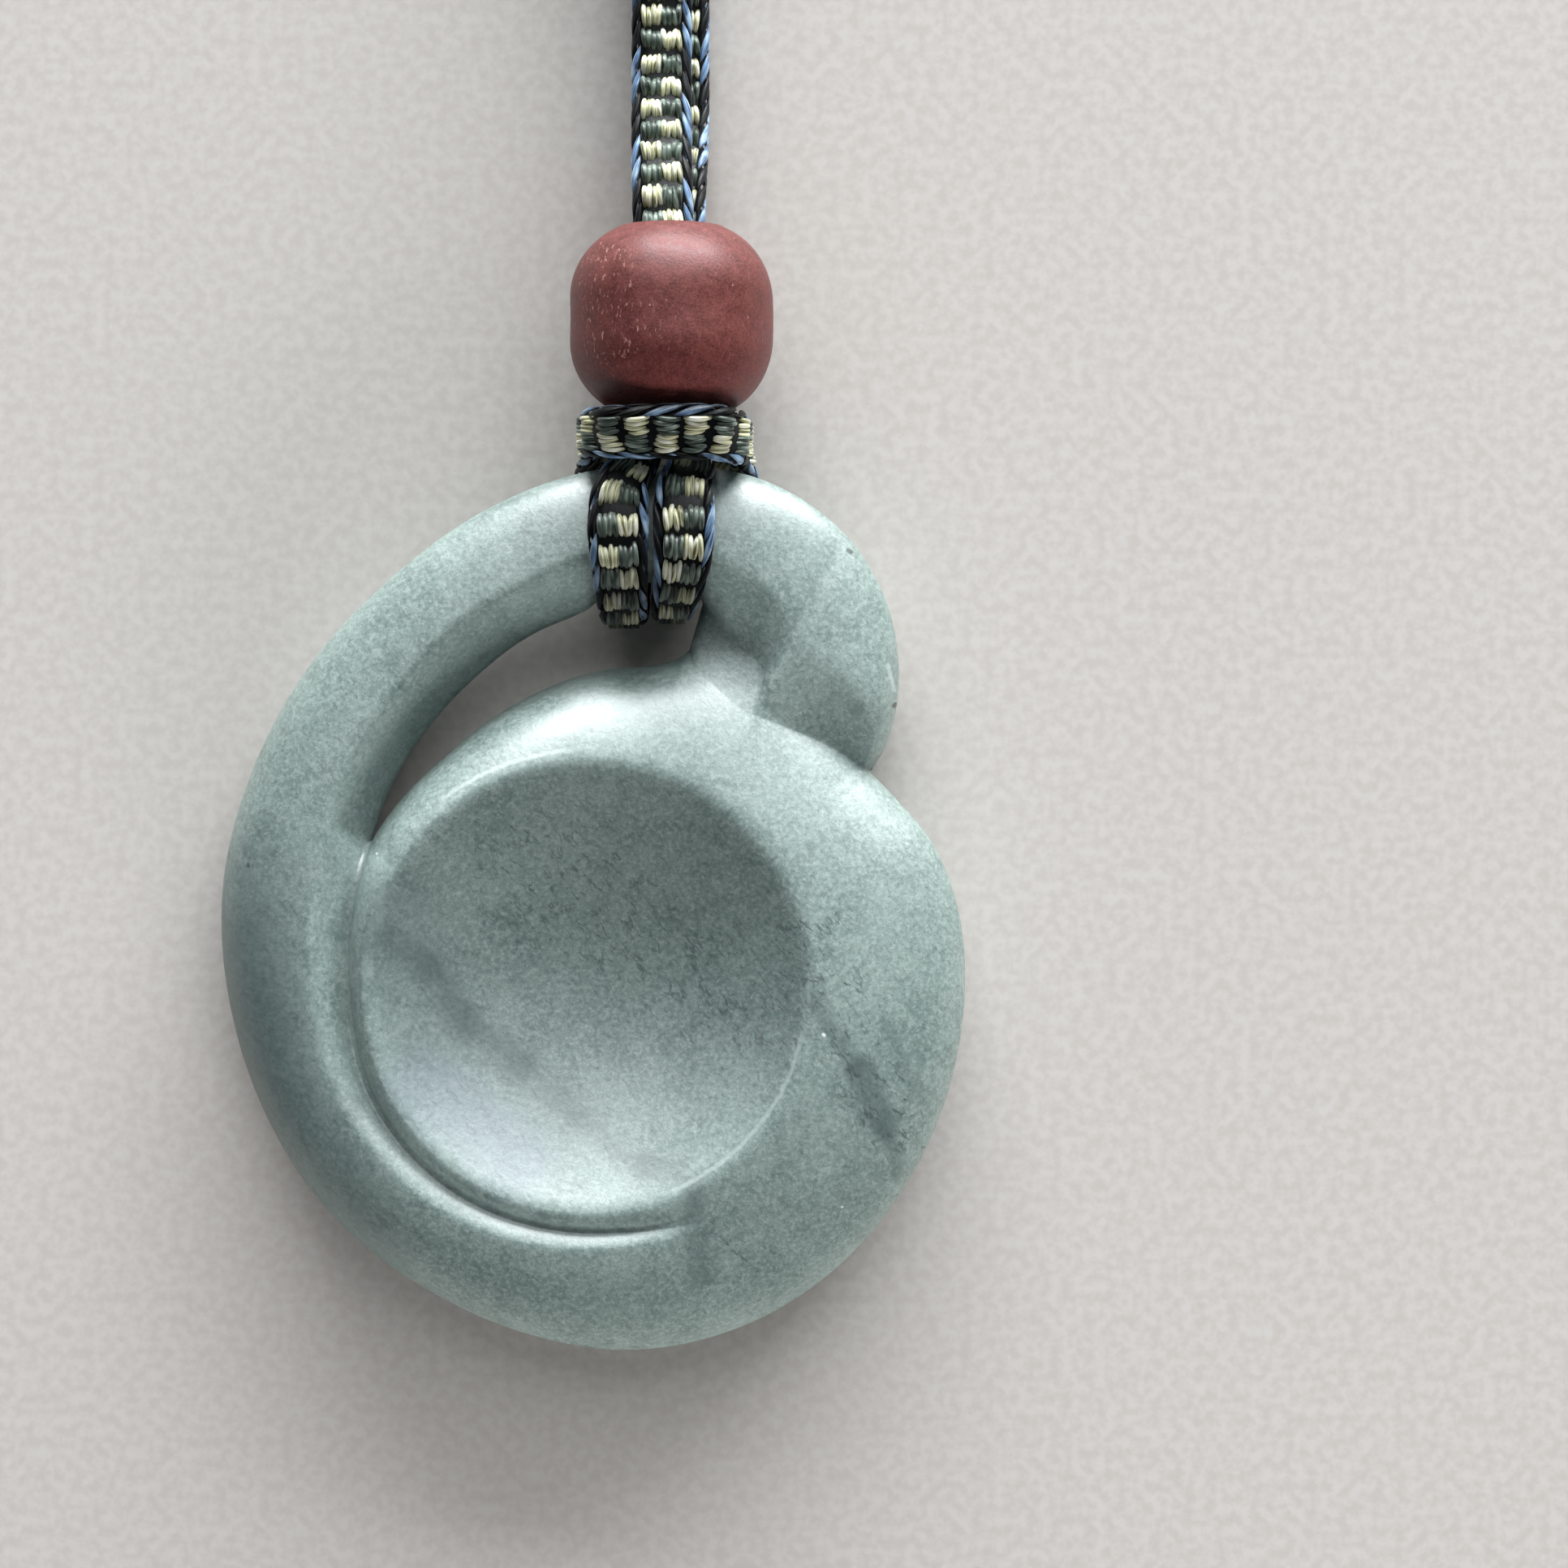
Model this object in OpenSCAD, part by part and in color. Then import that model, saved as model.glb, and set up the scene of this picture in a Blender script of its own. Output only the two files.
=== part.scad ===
// Carved jade pendant with a round dish, hung on a braided neck cord by a cow hitch under one round
// bead, and lying on its flat back. Millimetres, +Z up out of the dish, +Y towards the cord, and the
// origin on the flat back under the middle of the dish.

/* [Jade pendant] */
// Radius of the dish at its rim
dish_r = 13.0; // [12.8:0.1:13.4]
// Height of the dish's rim above the flat back
rim_z = 8.0; // [7.7:0.1:8.6]
// Depth of the dish in its middle
dish_depth = 3.6; // [2.4:0.1:4.2]
// Height of the widest part of the outer edge
edge_z = 3.2; // [2.9:0.1:3.6]
// Reach of the rounding between the outer edge and the flat back
back_round = 2.6; // [1.6:0.1:3.2]

/* [Bead] */
// Radius of the bead
bead_r = 5.95; // [5.9:0.05:6.4]
// Radius of the arcs that round the bead from side to end
bead_arc = 4.6; // [4.4:0.1:4.6]
// Half the length of the straight stretch of the bead's side
bead_side = 1.15; // [1.0:0.05:1.4]
// Radius of the hole drilled through the bead
bead_hole_r = 2.85; // [2.8:0.05:3.0]

/* [Cord] */
// Width of the flat braid
braid_w = 3.7; // [3.4:0.1:3.7]
// Thickness of the flat braid
braid_t = 2.0; // [1.8:0.1:2.0]

/* [Clasp] */
// Radius of the sleeve that joins the cord's ends
clasp_r = 2.9; // [2.8:0.1:3.2]
// Length of the sleeve
clasp_l = 15; // [14:1:18]
// Radius of the two blind holes in the sleeve
clasp_hole_r = 2.2; // [2.2:0.05:2.4]

/* [Hidden] */

// Outer edge of the pendant, as angle from +X and radius from the middle of the dish
OUTLINE = [
    [37, 20.7], [38.8, 22.3], [42.2, 24.4], [46, 26.2], [51.5, 28.3], [58, 30.0], [65, 31.0],
    [72, 31.35], [81, 30.9], [91, 30.05], [102, 28.6], [116, 26.65], [131, 25.1], [148, 23.6],
    [164, 22.55], [184, 21.3], [203, 20.65], [222, 20.5], [242, 20.45], [260, 21.0], [275, 21.7],
    [292, 22.1], [308, 22.2], [324, 22.1], [340, 22.05], [357, 22.1], [371.5, 22.15], [382, 21.85],
    [391, 21.1], [397, 20.7]
];

// Lines that the carving follows round the dish: angle, edge of the disc, inner edge of the ring band,
// crest of the band, then the heights of those three, how far the band's back is lifted off the
// surface for the cord, and how far the full disc would reach. Up to the hole the disc's own dome,
// which runs on under the lobe, gives the height of its edge.
SECTIONS = [
    // angle, disc, band, crest, disc_z, band_z, crest_z, lift, full
    [37, 20.62, 20.65, 20.67, 3.6, 3.6, 3.6, 0, 20.7],
    [39, 20.4, 20.6, 21.3, 4.1, 4.1, 4.4, 0, 20.65],
    [42, 20.15, 20.4, 22.4, 4.6, 4.6, 5.2, 0, 20.7],
    [46, 19.75, 20, 23.2, 5.1, 5.1, 5.9, 0, 20.8],
    [51, 19.2, 19.5, 23.6, 5.8, 5.8, 6.3, 0.2, 21.1],
    [56, 18.75, 19.2, 23.6, 6.2, 6.2, 6.5, 0.8, 21.6],
    [59, 18.55, 19.2, 23.6, 6.4, 6.4, 6.6, 1.3, 22],
    [60, 18.5, 20.2, 23.7, 6.5, 6.05, 6.6, 1.45, 22],
    [61, 18.5, 20.9, 24.2, 6.5, 5.75, 6.65, 1.6, 22],
    [63, 18.6, 21.3, 24.9, 6.4, 5.45, 6.75, 1.9, 21.9],
    [66, 18.9, 21.6, 25.5, 6.1, 5.1, 6.9, 2.2, 21.6],
    [69, 19.3, 22.0, 26, 5.7, 4.75, 7.1, 2.25, 21.2],
    [72, 19.8, 22.9, 26.2, 5, 4.5, 7.3, 2.25, 20.75],
    [73.5, 20.5, 23.4, 26.2, 3.2, 4.5, 7.35, 2.25, 20.5],
    [74.5, 20.05, 23.9, 26.2, 3.2, 4.5, 7.4, 2.25, 20.05],
    [77, 19.45, 24.1, 26.1, 3.2, 4.6, 7.4, 2.25, 19.45],
    [81, 18.95, 23.9, 25.9, 3.2, 4.7, 7.4, 2.25, 18.95],
    [86, 18.65, 23.4, 25.4, 3.2, 4.7, 7.4, 2.25, 18.65],
    [91, 18.3, 21.9, 25, 3.2, 4.6, 7.4, 2.25, 18.3],
    [99, 17.6, 20.9, 23.8, 3.2, 4.4, 7.3, 2.1, 17.6],
    [112, 16.6, 19.1, 22.2, 3.2, 4, 7.2, 1.4, 16.6],
    [125, 15.85, 17.6, 20.3, 3.2, 3.6, 7.1, 0.6, 15.85],
    [137, 15.6, 16.4, 18.95, 3.2, 3.3, 7.05, 0.1, 15.6],
    [147, 15.4, 15.5, 17.9, 3.2, 3.2, 7, 0, 15.4],
    [150, 15.1, 15.3, 17.65, 4.6, 4.6, 7, 0, 15.1],
    [155, 14.8, 15, 17.25, 5.3, 5.3, 7, 0, 14.8],
    [165, 14.35, 14.6, 16.6, 5.5, 5.5, 7, 0, 14.35],
    [187, 13.9, 14.15, 16.05, 5.6, 5.6, 7, 0, 13.9],
    [205, 14, 14.25, 15.9, 6.3, 6.3, 7.2, 0, 14],
    [220, 13.95, 14.2, 15.65, 6.85, 6.85, 7.55, 0, 13.95],
    [236, 13.95, 14.2, 15.5, 7.15, 7.15, 7.75, 0, 13.95],
    [253, 13.95, 14.2, 15.3, 7.25, 7.25, 7.8, 0, 13.95],
    [273, 14.05, 14.3, 15.2, 7.3, 7.3, 7.78, 0, 14.05],
    [285, 14.3, 14.55, 15.3, 7.45, 7.45, 7.75, 0, 14.3],
    [297, 14.7, 15.1, 15.6, 7.55, 7.55, 7.7, 0, 14.7],
    [315, 15.4, 16, 16.8, 7.6, 7.6, 7.8, 0, 15.4],
    [345, 16, 16.8, 18, 7.6, 7.6, 7.8, 0, 16],
    [370, 16.8, 17.6, 18.8, 7.4, 7.4, 7.6, 0, 16.8],
    [385, 18.2, 18.8, 19.6, 6.8, 6.8, 7, 0, 18.2],
    [393, 19.8, 20, 20.2, 5, 5, 5.2, 0, 19.8],
    [397, 20.62, 20.65, 20.67, 3.6, 3.6, 3.6, 0, 20.7]
];

// The crease under the lobe starts at the first angle and has its full form from the second
CREASE_FROM = 37;
CREASE_FULL = 38.6;
// How much of its height a dome loses evenly on its way out
DOME_FALL = 0.3;
// The through hole runs between these angles, and the groove fades out between the next two
HOLE_FROM = 73.5;
HOLE_TO = 147;
GROOVE_FADES = 284;
GROOVE_ENDS = 300;

// Angles of the rays, closer together where the carving changes fast
RAY_RANGES = [[37:1.5:71.5], [72.5:1:77.5], [80:2.5:142.5], [145:1:149], [151:3:154],
    [157:3:301], [304:4:392], [394.5:1:395]];
RAYS = [for (angles = RAY_RANGES) for (angle = angles) angle];

// Steps along a ray on the front: dish, shoulder, bevel and outer slope of the band
DISH_STEPS = 7;
SHOULDER_STEPS = 6;
BEVEL_STEPS = 3;
SLOPE_STEPS = 7;
// Steps along a ray on the back: disc and band
BACK_DISC_STEPS = 7;
BACK_BAND_STEPS = 8;

function blend(a, b, t) = a + (b - a) * t;
function unit_range(t) = min(1, max(0, t));
function ease(t) = let (s = unit_range(t)) s * s * (3 - 2 * s);

// Row of a table below an angle
function row_below(table, angle, k = 0) =
    k >= len(table) - 2 || table[k + 1][0] > angle ? k : row_below(table, angle, k + 1);

// Slope of a column at a row: the mean of both sides, and level where a limited curve turns
function slope_at(table, k, c, limited) =
    let (
        before = k == 0 ? undef : (table[k][c] - table[k - 1][c]) / (table[k][0] - table[k - 1][0]),
        after = k == len(table) - 1 ? undef
            : (table[k + 1][c] - table[k][c]) / (table[k + 1][0] - table[k][0])
    )
    is_undef(before) ? after
    : is_undef(after) ? before
    : limited && before * after <= 0 ? 0
    : limited ? 2 * before * after / (before + after)
    : (before + after) / 2;

// Smooth value of a column at an angle
function column_at(table, angle, c, limited) =
    let (
        k = row_below(table, angle),
        span = table[k + 1][0] - table[k][0],
        t = (angle - table[k][0]) / span,
        a = slope_at(table, k, c, limited) * span,
        b = slope_at(table, k + 1, c, limited) * span,
        y0 = table[k][c],
        y1 = table[k + 1][c]
    )
    y0 + t * (a + t * (3 * (y1 - y0) - 2 * a - b + t * (a + b - 2 * (y1 - y0))));

// Everything that the shape needs on one ray, in this order
function ray(angle) = [
    column_at(SECTIONS, angle, 1, true),
    column_at(SECTIONS, angle, 2, true),
    column_at(SECTIONS, angle, 3, true),
    column_at(OUTLINE, angle, 1, false),
    column_at(SECTIONS, angle, 4, true),
    column_at(SECTIONS, angle, 5, true),
    column_at(SECTIONS, angle, 6, true),
    column_at(SECTIONS, angle, 7, true),
    column_at(SECTIONS, angle, 8, true),
    angle
];
DISC = 0;
BAND = 1;
CREST = 2;
OUTER = 3;
DISC_Z = 4;
BAND_Z = 5;
CREST_Z = 6;
LIFT = 7;
FULL = 8;
ANGLE = 9;

function outer_z(s) = edge_z + 0.7 * s[LIFT];

// Domed shoulder from the dish's rim to a lower edge
function dome_share(t) = (1 - DOME_FALL * t) * sqrt(max(0, 1 - pow(t, 2.4)));
function dome(r, reach, foot_z) =
    blend(foot_z, rim_z, dome_share(unit_range((r - dish_r) / (reach - dish_r))));

// Front of the disc, whose dome runs on under the lobe up to the hole's start
function disc_front(r, s) =
    s[ANGLE] < 75 ? dome(r, s[FULL], edge_z) : dome(r, s[DISC], s[DISC_Z]);

// Front of the ring band: bevel up to the crest, then the outer slope down to the edge
function band_front(r, s) =
    let (
        u = unit_range((r - s[BAND]) / (s[CREST] - s[BAND])),
        t = unit_range((r - s[CREST]) / (s[OUTER] - s[CREST])),
        roundness = 1.2 + 0.8 * ease((s[ANGLE] - 65) / 8) - 0.8 * ease((s[ANGLE] - 80) / 12)
            + 0.5 * ease((s[ANGLE] - 150) / 40)
    )
    r <= s[CREST]
        ? s[BAND_Z] + (s[CREST_Z] - s[BAND_Z]) * (1 - pow(1 - u, roundness))
        : outer_z(s) + (s[CREST_Z] - outer_z(s)) * (1 - 0.2 * t) * sqrt(max(0, 1 - pow(t, 2.6)));

function carved_front(r, s) =
    r <= s[DISC] ? disc_front(r, s)
    : r <= s[BAND] ? blend(disc_front(s[DISC], s), s[BAND_Z], (r - s[DISC]) / (s[BAND] - s[DISC]))
    : band_front(r, s);

function front_z(r, s) =
    r <= dish_r ? rim_z - dish_depth * (1 - pow(r / dish_r, 2))
    : blend(carved_front(r, s), dome(r, s[ANGLE] < CREASE_FULL ? OUTLINE[0][1] : s[OUTER], outer_z(s)),
        max(ease((s[ANGLE] - GROOVE_FADES) / (GROOVE_ENDS - GROOVE_FADES)),
            1 - ease((s[ANGLE] - CREASE_FROM) / (CREASE_FULL - CREASE_FROM))));

// Share of the hole's rounding on the back, fading beyond the hole's two ends
function hole_share(angle) = ease((angle - HOLE_FROM + 5) / 5) * ease((HOLE_TO + 6 - angle) / 6);

// Height above the flat of a quarter round that ends at an edge
function quarter_round(distance, reach, height) =
    let (e = unit_range(distance / reach))
    height * (1 - sqrt(1 - pow(1 - e, 2)));

function back_z(r, s) =
    let (
        base = s[LIFT] * ease((r - s[DISC]) / max(0.5, s[BAND] - s[DISC])),
        h = hole_share(s[ANGLE]),
        gap = unit_range((r - s[DISC]) / (s[BAND] - s[DISC])),
        lip_z = blend(edge_z, edge_z + 0.57 * s[LIFT], gap),
        from_gap = r < s[DISC] ? s[DISC] - r : r > s[BAND] ? r - s[BAND] : 0
    )
    base + max(quarter_round(s[OUTER] - r, back_round, outer_z(s) - base),
        quarter_round(from_gap, 1.3, h * (lip_z - base)));

// Radii of the points along one ray
function front_radii(s) = concat(
    [for (j = [1:DISH_STEPS]) dish_r * j / DISH_STEPS],
    [for (j = [1:SHOULDER_STEPS]) blend(dish_r, s[DISC], sin(90 * j / SHOULDER_STEPS))],
    [s[BAND]],
    [for (j = [1:BEVEL_STEPS]) blend(s[BAND], s[CREST], j / BEVEL_STEPS)],
    [for (j = [1:SLOPE_STEPS]) blend(s[CREST], s[OUTER], sin(90 * j / SLOPE_STEPS))]
);
function back_radii(s) = concat(
    [for (j = [1:BACK_DISC_STEPS]) s[DISC] * sin(90 * j / BACK_DISC_STEPS)],
    [s[BAND]],
    [for (j = [1:BACK_BAND_STEPS - 1])
        blend(s[BAND], s[OUTER], (1 - cos(180 * j / BACK_BAND_STEPS)) / 2)]
);

// Where the disc's edge and the band's inner edge stand among those points
FRONT_DISC = DISH_STEPS + SHOULDER_STEPS - 1;
FRONT_BAND = FRONT_DISC + 1;
FRONT_POINTS = FRONT_BAND + BEVEL_STEPS + SLOPE_STEPS + 1;
BACK_DISC = BACK_DISC_STEPS - 1;
BACK_BAND = BACK_DISC + 1;
BACK_POINTS = BACK_BAND + BACK_BAND_STEPS;

// The front's last point on a ray, and the points round the hole, also belong to the back
module jade_pendant() {
    rays = [for (angle = RAYS) ray(angle)];
    n = len(rays);
    in_hole = [for (s = rays) s[ANGLE] >= HOLE_FROM - 0.1 && s[ANGLE] <= HOLE_TO + 0.1];
    front_start = 2;
    back_start = 2 + n * FRONT_POINTS;
    points = concat(
        [[0, 0, rim_z - dish_depth], [0, 0, 0]],
        [for (s = rays) for (r = front_radii(s))
            [r * cos(s[ANGLE]), r * sin(s[ANGLE]), front_z(r, s)]],
        [for (s = rays) for (r = back_radii(s))
            [r * cos(s[ANGLE]), r * sin(s[ANGLE]), back_z(r, s)]]
    );
    function front_id(i, j) = j < 0 ? 0 : front_start + (i % n) * FRONT_POINTS + j;
    function back_id(i, j) =
        j < 0 ? 1
        : j == BACK_POINTS ? front_id(i, FRONT_POINTS - 1)
        : in_hole[i % n] && j == BACK_DISC ? front_id(i, FRONT_DISC)
        : in_hole[i % n] && j == BACK_BAND ? front_id(i, FRONT_BAND)
        : back_start + (i % n) * BACK_POINTS + j;
    function is_hole(i) = in_hole[i] && in_hole[(i + 1) % n];
    faces = concat(
        [for (i = [0:n - 1]) [0, front_id(i + 1, 0), front_id(i, 0)]],
        [for (i = [0:n - 1]) for (j = [0:FRONT_POINTS - 2]) if (!(is_hole(i) && j == FRONT_DISC))
            [front_id(i, j), front_id(i + 1, j), front_id(i + 1, j + 1), front_id(i, j + 1)]],
        [for (i = [0:n - 1]) [1, back_id(i, 0), back_id(i + 1, 0)]],
        [for (i = [0:n - 1]) for (j = [0:BACK_POINTS - 1]) if (!(is_hole(i) && j == BACK_DISC))
            [back_id(i, j), back_id(i, j + 1), back_id(i + 1, j + 1), back_id(i + 1, j)]]
    );
    color([0.55, 0.66, 0.65]) polyhedron(points, faces, convexity = 8);
}

// The bead lies on the surface with its hole along Y
BEAD_AT = [4.85, 38.85, 6.0];

module bead() {
    shoulder = bead_r - bead_arc;
    color([0.5, 0.26, 0.27])
    translate(BEAD_AT) rotate([-90, 0, 0]) rotate_extrude($fn = 96) difference() {
        union() {
            translate([0, -bead_side]) square([bead_r, 2 * bead_side]);
            translate([0, -bead_side - bead_arc]) square([shoulder, 2 * (bead_side + bead_arc)]);
            for (end = [-1, 1]) intersection() {
                translate([shoulder, end * bead_side]) circle(r = bead_arc, $fn = 96);
                translate([0, end > 0 ? 0 : -2 * bead_r]) square([bead_r, 2 * bead_r]);
            }
        }
        translate([-1, -2 * bead_r]) square([1 + bead_hole_r, 4 * bead_r]);
    }
}

// Route of the cow hitch, from the bead's hole over the left of the ring's front, through the pendant's
// hole, up behind the ring, across the front as a bar, and the same way back on the right
HITCH = [
    // x, y, z, which way the braid's face looks (x, y, z), width, thickness
    [4.0,  33.7, 7.0,   0, 0, 1,       2.9, 1.8],
    [3.9,  33.15, 7.0,  0, 0, 1,       2.8, 1.8],
    [3.5,  32.4, 7.0,   0, 0, 1,       2.8, 1.8],
    [3.15, 31.7, 7.0,   0, 0, 1,       2.8, 1.8],
    [3.0,  31.0, 7.05,  0, 0, 1,       2.8, 1.8],
    [2.7,  30.2, 7.3,   0, 0, 1,       2.8, 1.8],
    [2.15, 29.3, 7.85,  0, 0, 1,       3.2, 1.9],
    [1.9,  28.1, 8.35,  0, 0, 1,       3.6, 2.0],
    [1.85, 26.4, 8.6,   0, 0, 1,       3.7, 2.0],
    [1.9,  24.9, 8.4,   0, -0.2, 1,    3.5, 2.0],
    [1.95, 23.4, 7.6,   0, -0.6, 0.8,  3.3, 1.9],
    [2.0,  22.2, 6.2,   0, -0.9, 0.4,  3.0, 1.8],
    [2.0,  21.75, 4.5,  0, -1, 0,      2.9, 1.8],
    [2.0,  22.1, 2.7,   0, -0.8, -0.6, 3.0, 1.8],
    [1.9,  23.5, 1.3,   0, -0.2, -1,   3.3, 1.9],
    [1.6,  25.6, 1.12,  0, 0, -1,      3.6, 1.9],
    [1.1,  27.6, 1.15,  0, 0, -1,      3.6, 1.9],
    [0.6,  29.5, 1.3,   -0.15, 0, -1,  3.4, 1.8],
    [0.25, 31.3, 2.5,   -0.7, 0, -0.7, 3.1, 1.8],
    [0.15, 32.2, 4.6,   -1, 0, 0,      2.9, 1.8],
    [0.15, 32.25, 6.6,  -1, 0, 0.1,    2.8, 1.8],
    [0.55, 32.15, 8.2,  -0.8, -0.1, 0.6, 3.0, 1.8],
    [1.8,  32.05, 9.45, -0.3, -0.35, 0.9, 3.2, 1.8],
    [4.5,  32.05, 9.85, 0, -0.4, 0.9,  3.4, 1.8],
    [7.1,  32.05, 9.4,  0.3, -0.35, 0.9, 3.4, 1.8],
    [8.4,  31.95, 8.2,  0.8, -0.1, 0.6, 3.3, 1.8],
    [8.75, 31.9, 6.6,   1, 0, 0.1,     3.2, 1.8],
    [8.8,  31.9, 4.6,   1, 0, 0,       3.2, 1.8],
    [8.7,  31.2, 2.5,   0.7, 0, -0.7,  3.1, 1.8],
    [8.2,  29.4, 1.3,   0.15, 0, -1,   3.4, 1.8],
    [7.3,  27.6, 1.15,  0, 0, -1,      3.6, 1.9],
    [6.3,  25.6, 1.12,  0, 0, -1,      3.6, 1.9],
    [5.3,  23.8, 1.3,   0, -0.2, -1,   3.2, 1.9],
    [4.9,  22.4, 2.7,   0, -0.8, -0.6, 2.6, 1.8],
    [4.85, 22.0, 4.5,   0, -1, 0,      2.5, 1.8],
    [5.0,  22.4, 6.2,   0, -0.9, 0.4,  2.8, 1.8],
    [5.35, 23.6, 7.6,   0, -0.6, 0.8,  3.2, 1.9],
    [5.6,  25.0, 8.45,  0, -0.2, 1,    3.5, 2.0],
    [5.65, 26.4, 8.65,  0, 0, 1,       3.7, 2.0],
    [5.65, 28.0, 8.4,   0, 0, 1,       3.7, 2.0],
    [5.75, 29.3, 7.85,  0, 0, 1,       3.3, 1.9],
    [6.0,  30.2, 7.1,   0, 0, 1,       3.0, 1.8],
    [6.1,  31.0, 6.2,   0, 0, 1,       2.8, 1.8],
    [6.0,  31.7, 5.35,  0, 0, 1,       2.8, 1.8],
    [5.7,  32.4, 4.95,  0, 0, 1,       2.8, 1.8],
    [5.25, 33.15, 4.9,  0, 0, 1,       2.8, 1.8],
    [5.15, 33.7, 4.9,   0, 0, 1,       2.9, 1.8]
];

// Route of the right half of the neck loop, the lower of the two strands in the bead
NECK_RIGHT = [
    [5.0, 34.1, 4.9], [5.0, 37, 4.9], [5.0, 40, 4.9], [5.0, 43.2, 4.9], [5.05, 46, 4.3],
    [5.15, 49, 2.7], [5.2, 52, 1.5], [5.2, 56, 1.1], [5.3, 63, 1.1], [6.2, 71, 1.1], [10, 84, 1.1], [19, 103, 1.1],
    [33, 124, 1.1], [50, 146, 1.1], [65, 170, 1.1], [75, 198, 1.1], [77, 228, 1.1], [66, 256, 1.1],
    [44, 275, 1.1], [24, 282.5, 1.3], [15, 284, 2.4], [10.5, 284, 3.0], [7.5, 284, 3.0]
];
// Route of the left half, which lies on the right one as far as the photo's edge
NECK_LEFT = [
    [4.5, 34.1, 7.0], [4.5, 37, 7.0], [4.5, 40, 7.0], [4.45, 43.2, 7.0], [4.35, 46, 6.65],
    [4.25, 49.5, 5.1], [4.2, 53, 3.75], [4.2, 57, 3.25], [4.1, 63, 3.25], [2.0, 70, 3.15],
    [-2.5, 79, 1.5], [-9, 92, 1.1],
    [-17, 107, 1.1], [-28, 124, 1.1], [-42, 146, 1.1], [-56, 170, 1.1], [-66, 198, 1.1],
    [-68, 228, 1.1], [-57, 256, 1.1], [-35, 275, 1.1], [-15, 282.5, 1.3], [-6, 284, 2.4],
    [-1.5, 284, 3.0], [1.5, 284, 3.0]
];
HITCH_STEP = 2;
NECK_STEP = 2;

// Point on the smooth curve through a list of rows
function spline(rows, k, t) =
    let (
        n = len(rows),
        a = rows[max(0, k - 1)],
        b = rows[k],
        c = rows[min(n - 1, k + 1)],
        d = rows[min(n - 1, k + 2)]
    )
    b + t / 2 * ((c - a) + t * (2 * a - 5 * b + 4 * c - d + t * (3 * (b - c) + d - a)));
function along(rows, steps) = concat(
    [for (k = [0:len(rows) - 2]) for (q = [0:steps - 1]) spline(rows, k, q / steps)],
    [rows[len(rows) - 1]]
);
function unit(v) = v / norm(v);
function first3(v) = [v[0], v[1], v[2]];

// Flat-oval section of the braid, as eight points
OVAL = [[0.5, 0.22], [0.36, 0.5], [-0.36, 0.5], [-0.5, 0.22], [-0.5, -0.22], [-0.36, -0.5],
    [0.36, -0.5], [0.5, -0.22]];

// A flat cord swept along rows of place, face direction, width and thickness
module flat_cord(rows, steps) {
    path = along(rows, steps);
    n = len(path);
    sides = len(OVAL);
    points = [for (i = [0:n - 1])
        let (
            row = path[i],
            heading = unit(first3(path[min(n - 1, i + 1)]) - first3(path[max(0, i - 1)])),
            across = unit(cross([row[3], row[4], row[5]], heading)),
            face = cross(heading, across)
        )
        for (p = OVAL) first3(row) + across * p[0] * row[6] + face * p[1] * row[7]
    ];
    faces = concat(
        [[for (q = [0:sides - 1]) q]],
        [for (i = [0:n - 2]) for (q = [0:sides - 1])
            [i * sides + q, (i + 1) * sides + q, (i + 1) * sides + (q + 1) % sides,
                i * sides + (q + 1) % sides]],
        [[for (q = [sides - 1:-1:0]) (n - 1) * sides + q]]
    );
    polyhedron(points, faces, convexity = 10);
}

function flat_on_top(route) = [for (p = route) concat(p, [0, 0, 1, braid_w, braid_t])];

module hitch_cord() {
    color([0.28, 0.33, 0.36]) flat_cord(HITCH, HITCH_STEP);
}

module neck_cord_left() {
    color([0.36, 0.4, 0.4]) flat_cord(flat_on_top(NECK_LEFT), NECK_STEP);
}

module neck_cord_right() {
    color([0.3, 0.35, 0.38]) flat_cord(flat_on_top(NECK_RIGHT), NECK_STEP);
}

// Plain sleeve at the back of the neck, with a blind hole in each end for the cord
CLASP_AT = [4.5, 284, 3.0];

module clasp() {
    wall = 2;
    color([0.45, 0.45, 0.46])
    translate(CLASP_AT) rotate([0, 90, 0]) difference() {
        cylinder(r = clasp_r, h = clasp_l, center = true, $fn = 64);
        for (end = [-1, 1])
            translate([0, 0, end * (clasp_l / 2 + wall / 2)])
                cylinder(r = clasp_hole_r, h = clasp_l, center = true, $fn = 48);
    }
}

jade_pendant();
bead();
hitch_cord();
neck_cord_left();
neck_cord_right();
clasp();
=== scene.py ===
"""Looks of a carved jade pendant, its bead and its braided neck cord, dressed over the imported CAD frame."""

import bpy
import numpy as np
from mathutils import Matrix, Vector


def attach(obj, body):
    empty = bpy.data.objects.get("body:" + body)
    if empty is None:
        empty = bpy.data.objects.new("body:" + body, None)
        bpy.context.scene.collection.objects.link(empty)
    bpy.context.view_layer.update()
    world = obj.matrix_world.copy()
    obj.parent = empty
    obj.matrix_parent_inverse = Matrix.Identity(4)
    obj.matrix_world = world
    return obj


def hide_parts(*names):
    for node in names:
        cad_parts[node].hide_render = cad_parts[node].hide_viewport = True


MM = 0.001

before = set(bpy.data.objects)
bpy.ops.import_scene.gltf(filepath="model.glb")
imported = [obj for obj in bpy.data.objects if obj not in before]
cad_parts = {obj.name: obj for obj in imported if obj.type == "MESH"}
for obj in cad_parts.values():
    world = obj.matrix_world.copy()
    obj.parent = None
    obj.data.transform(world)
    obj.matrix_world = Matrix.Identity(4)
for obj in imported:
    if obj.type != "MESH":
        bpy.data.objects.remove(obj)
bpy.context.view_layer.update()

# Camera straight above the pendant, at the photo's angle
CAMERA_AT = (0.01142, 0.01180, 0.230)
CAMERA_LENS = 88.1


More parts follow.
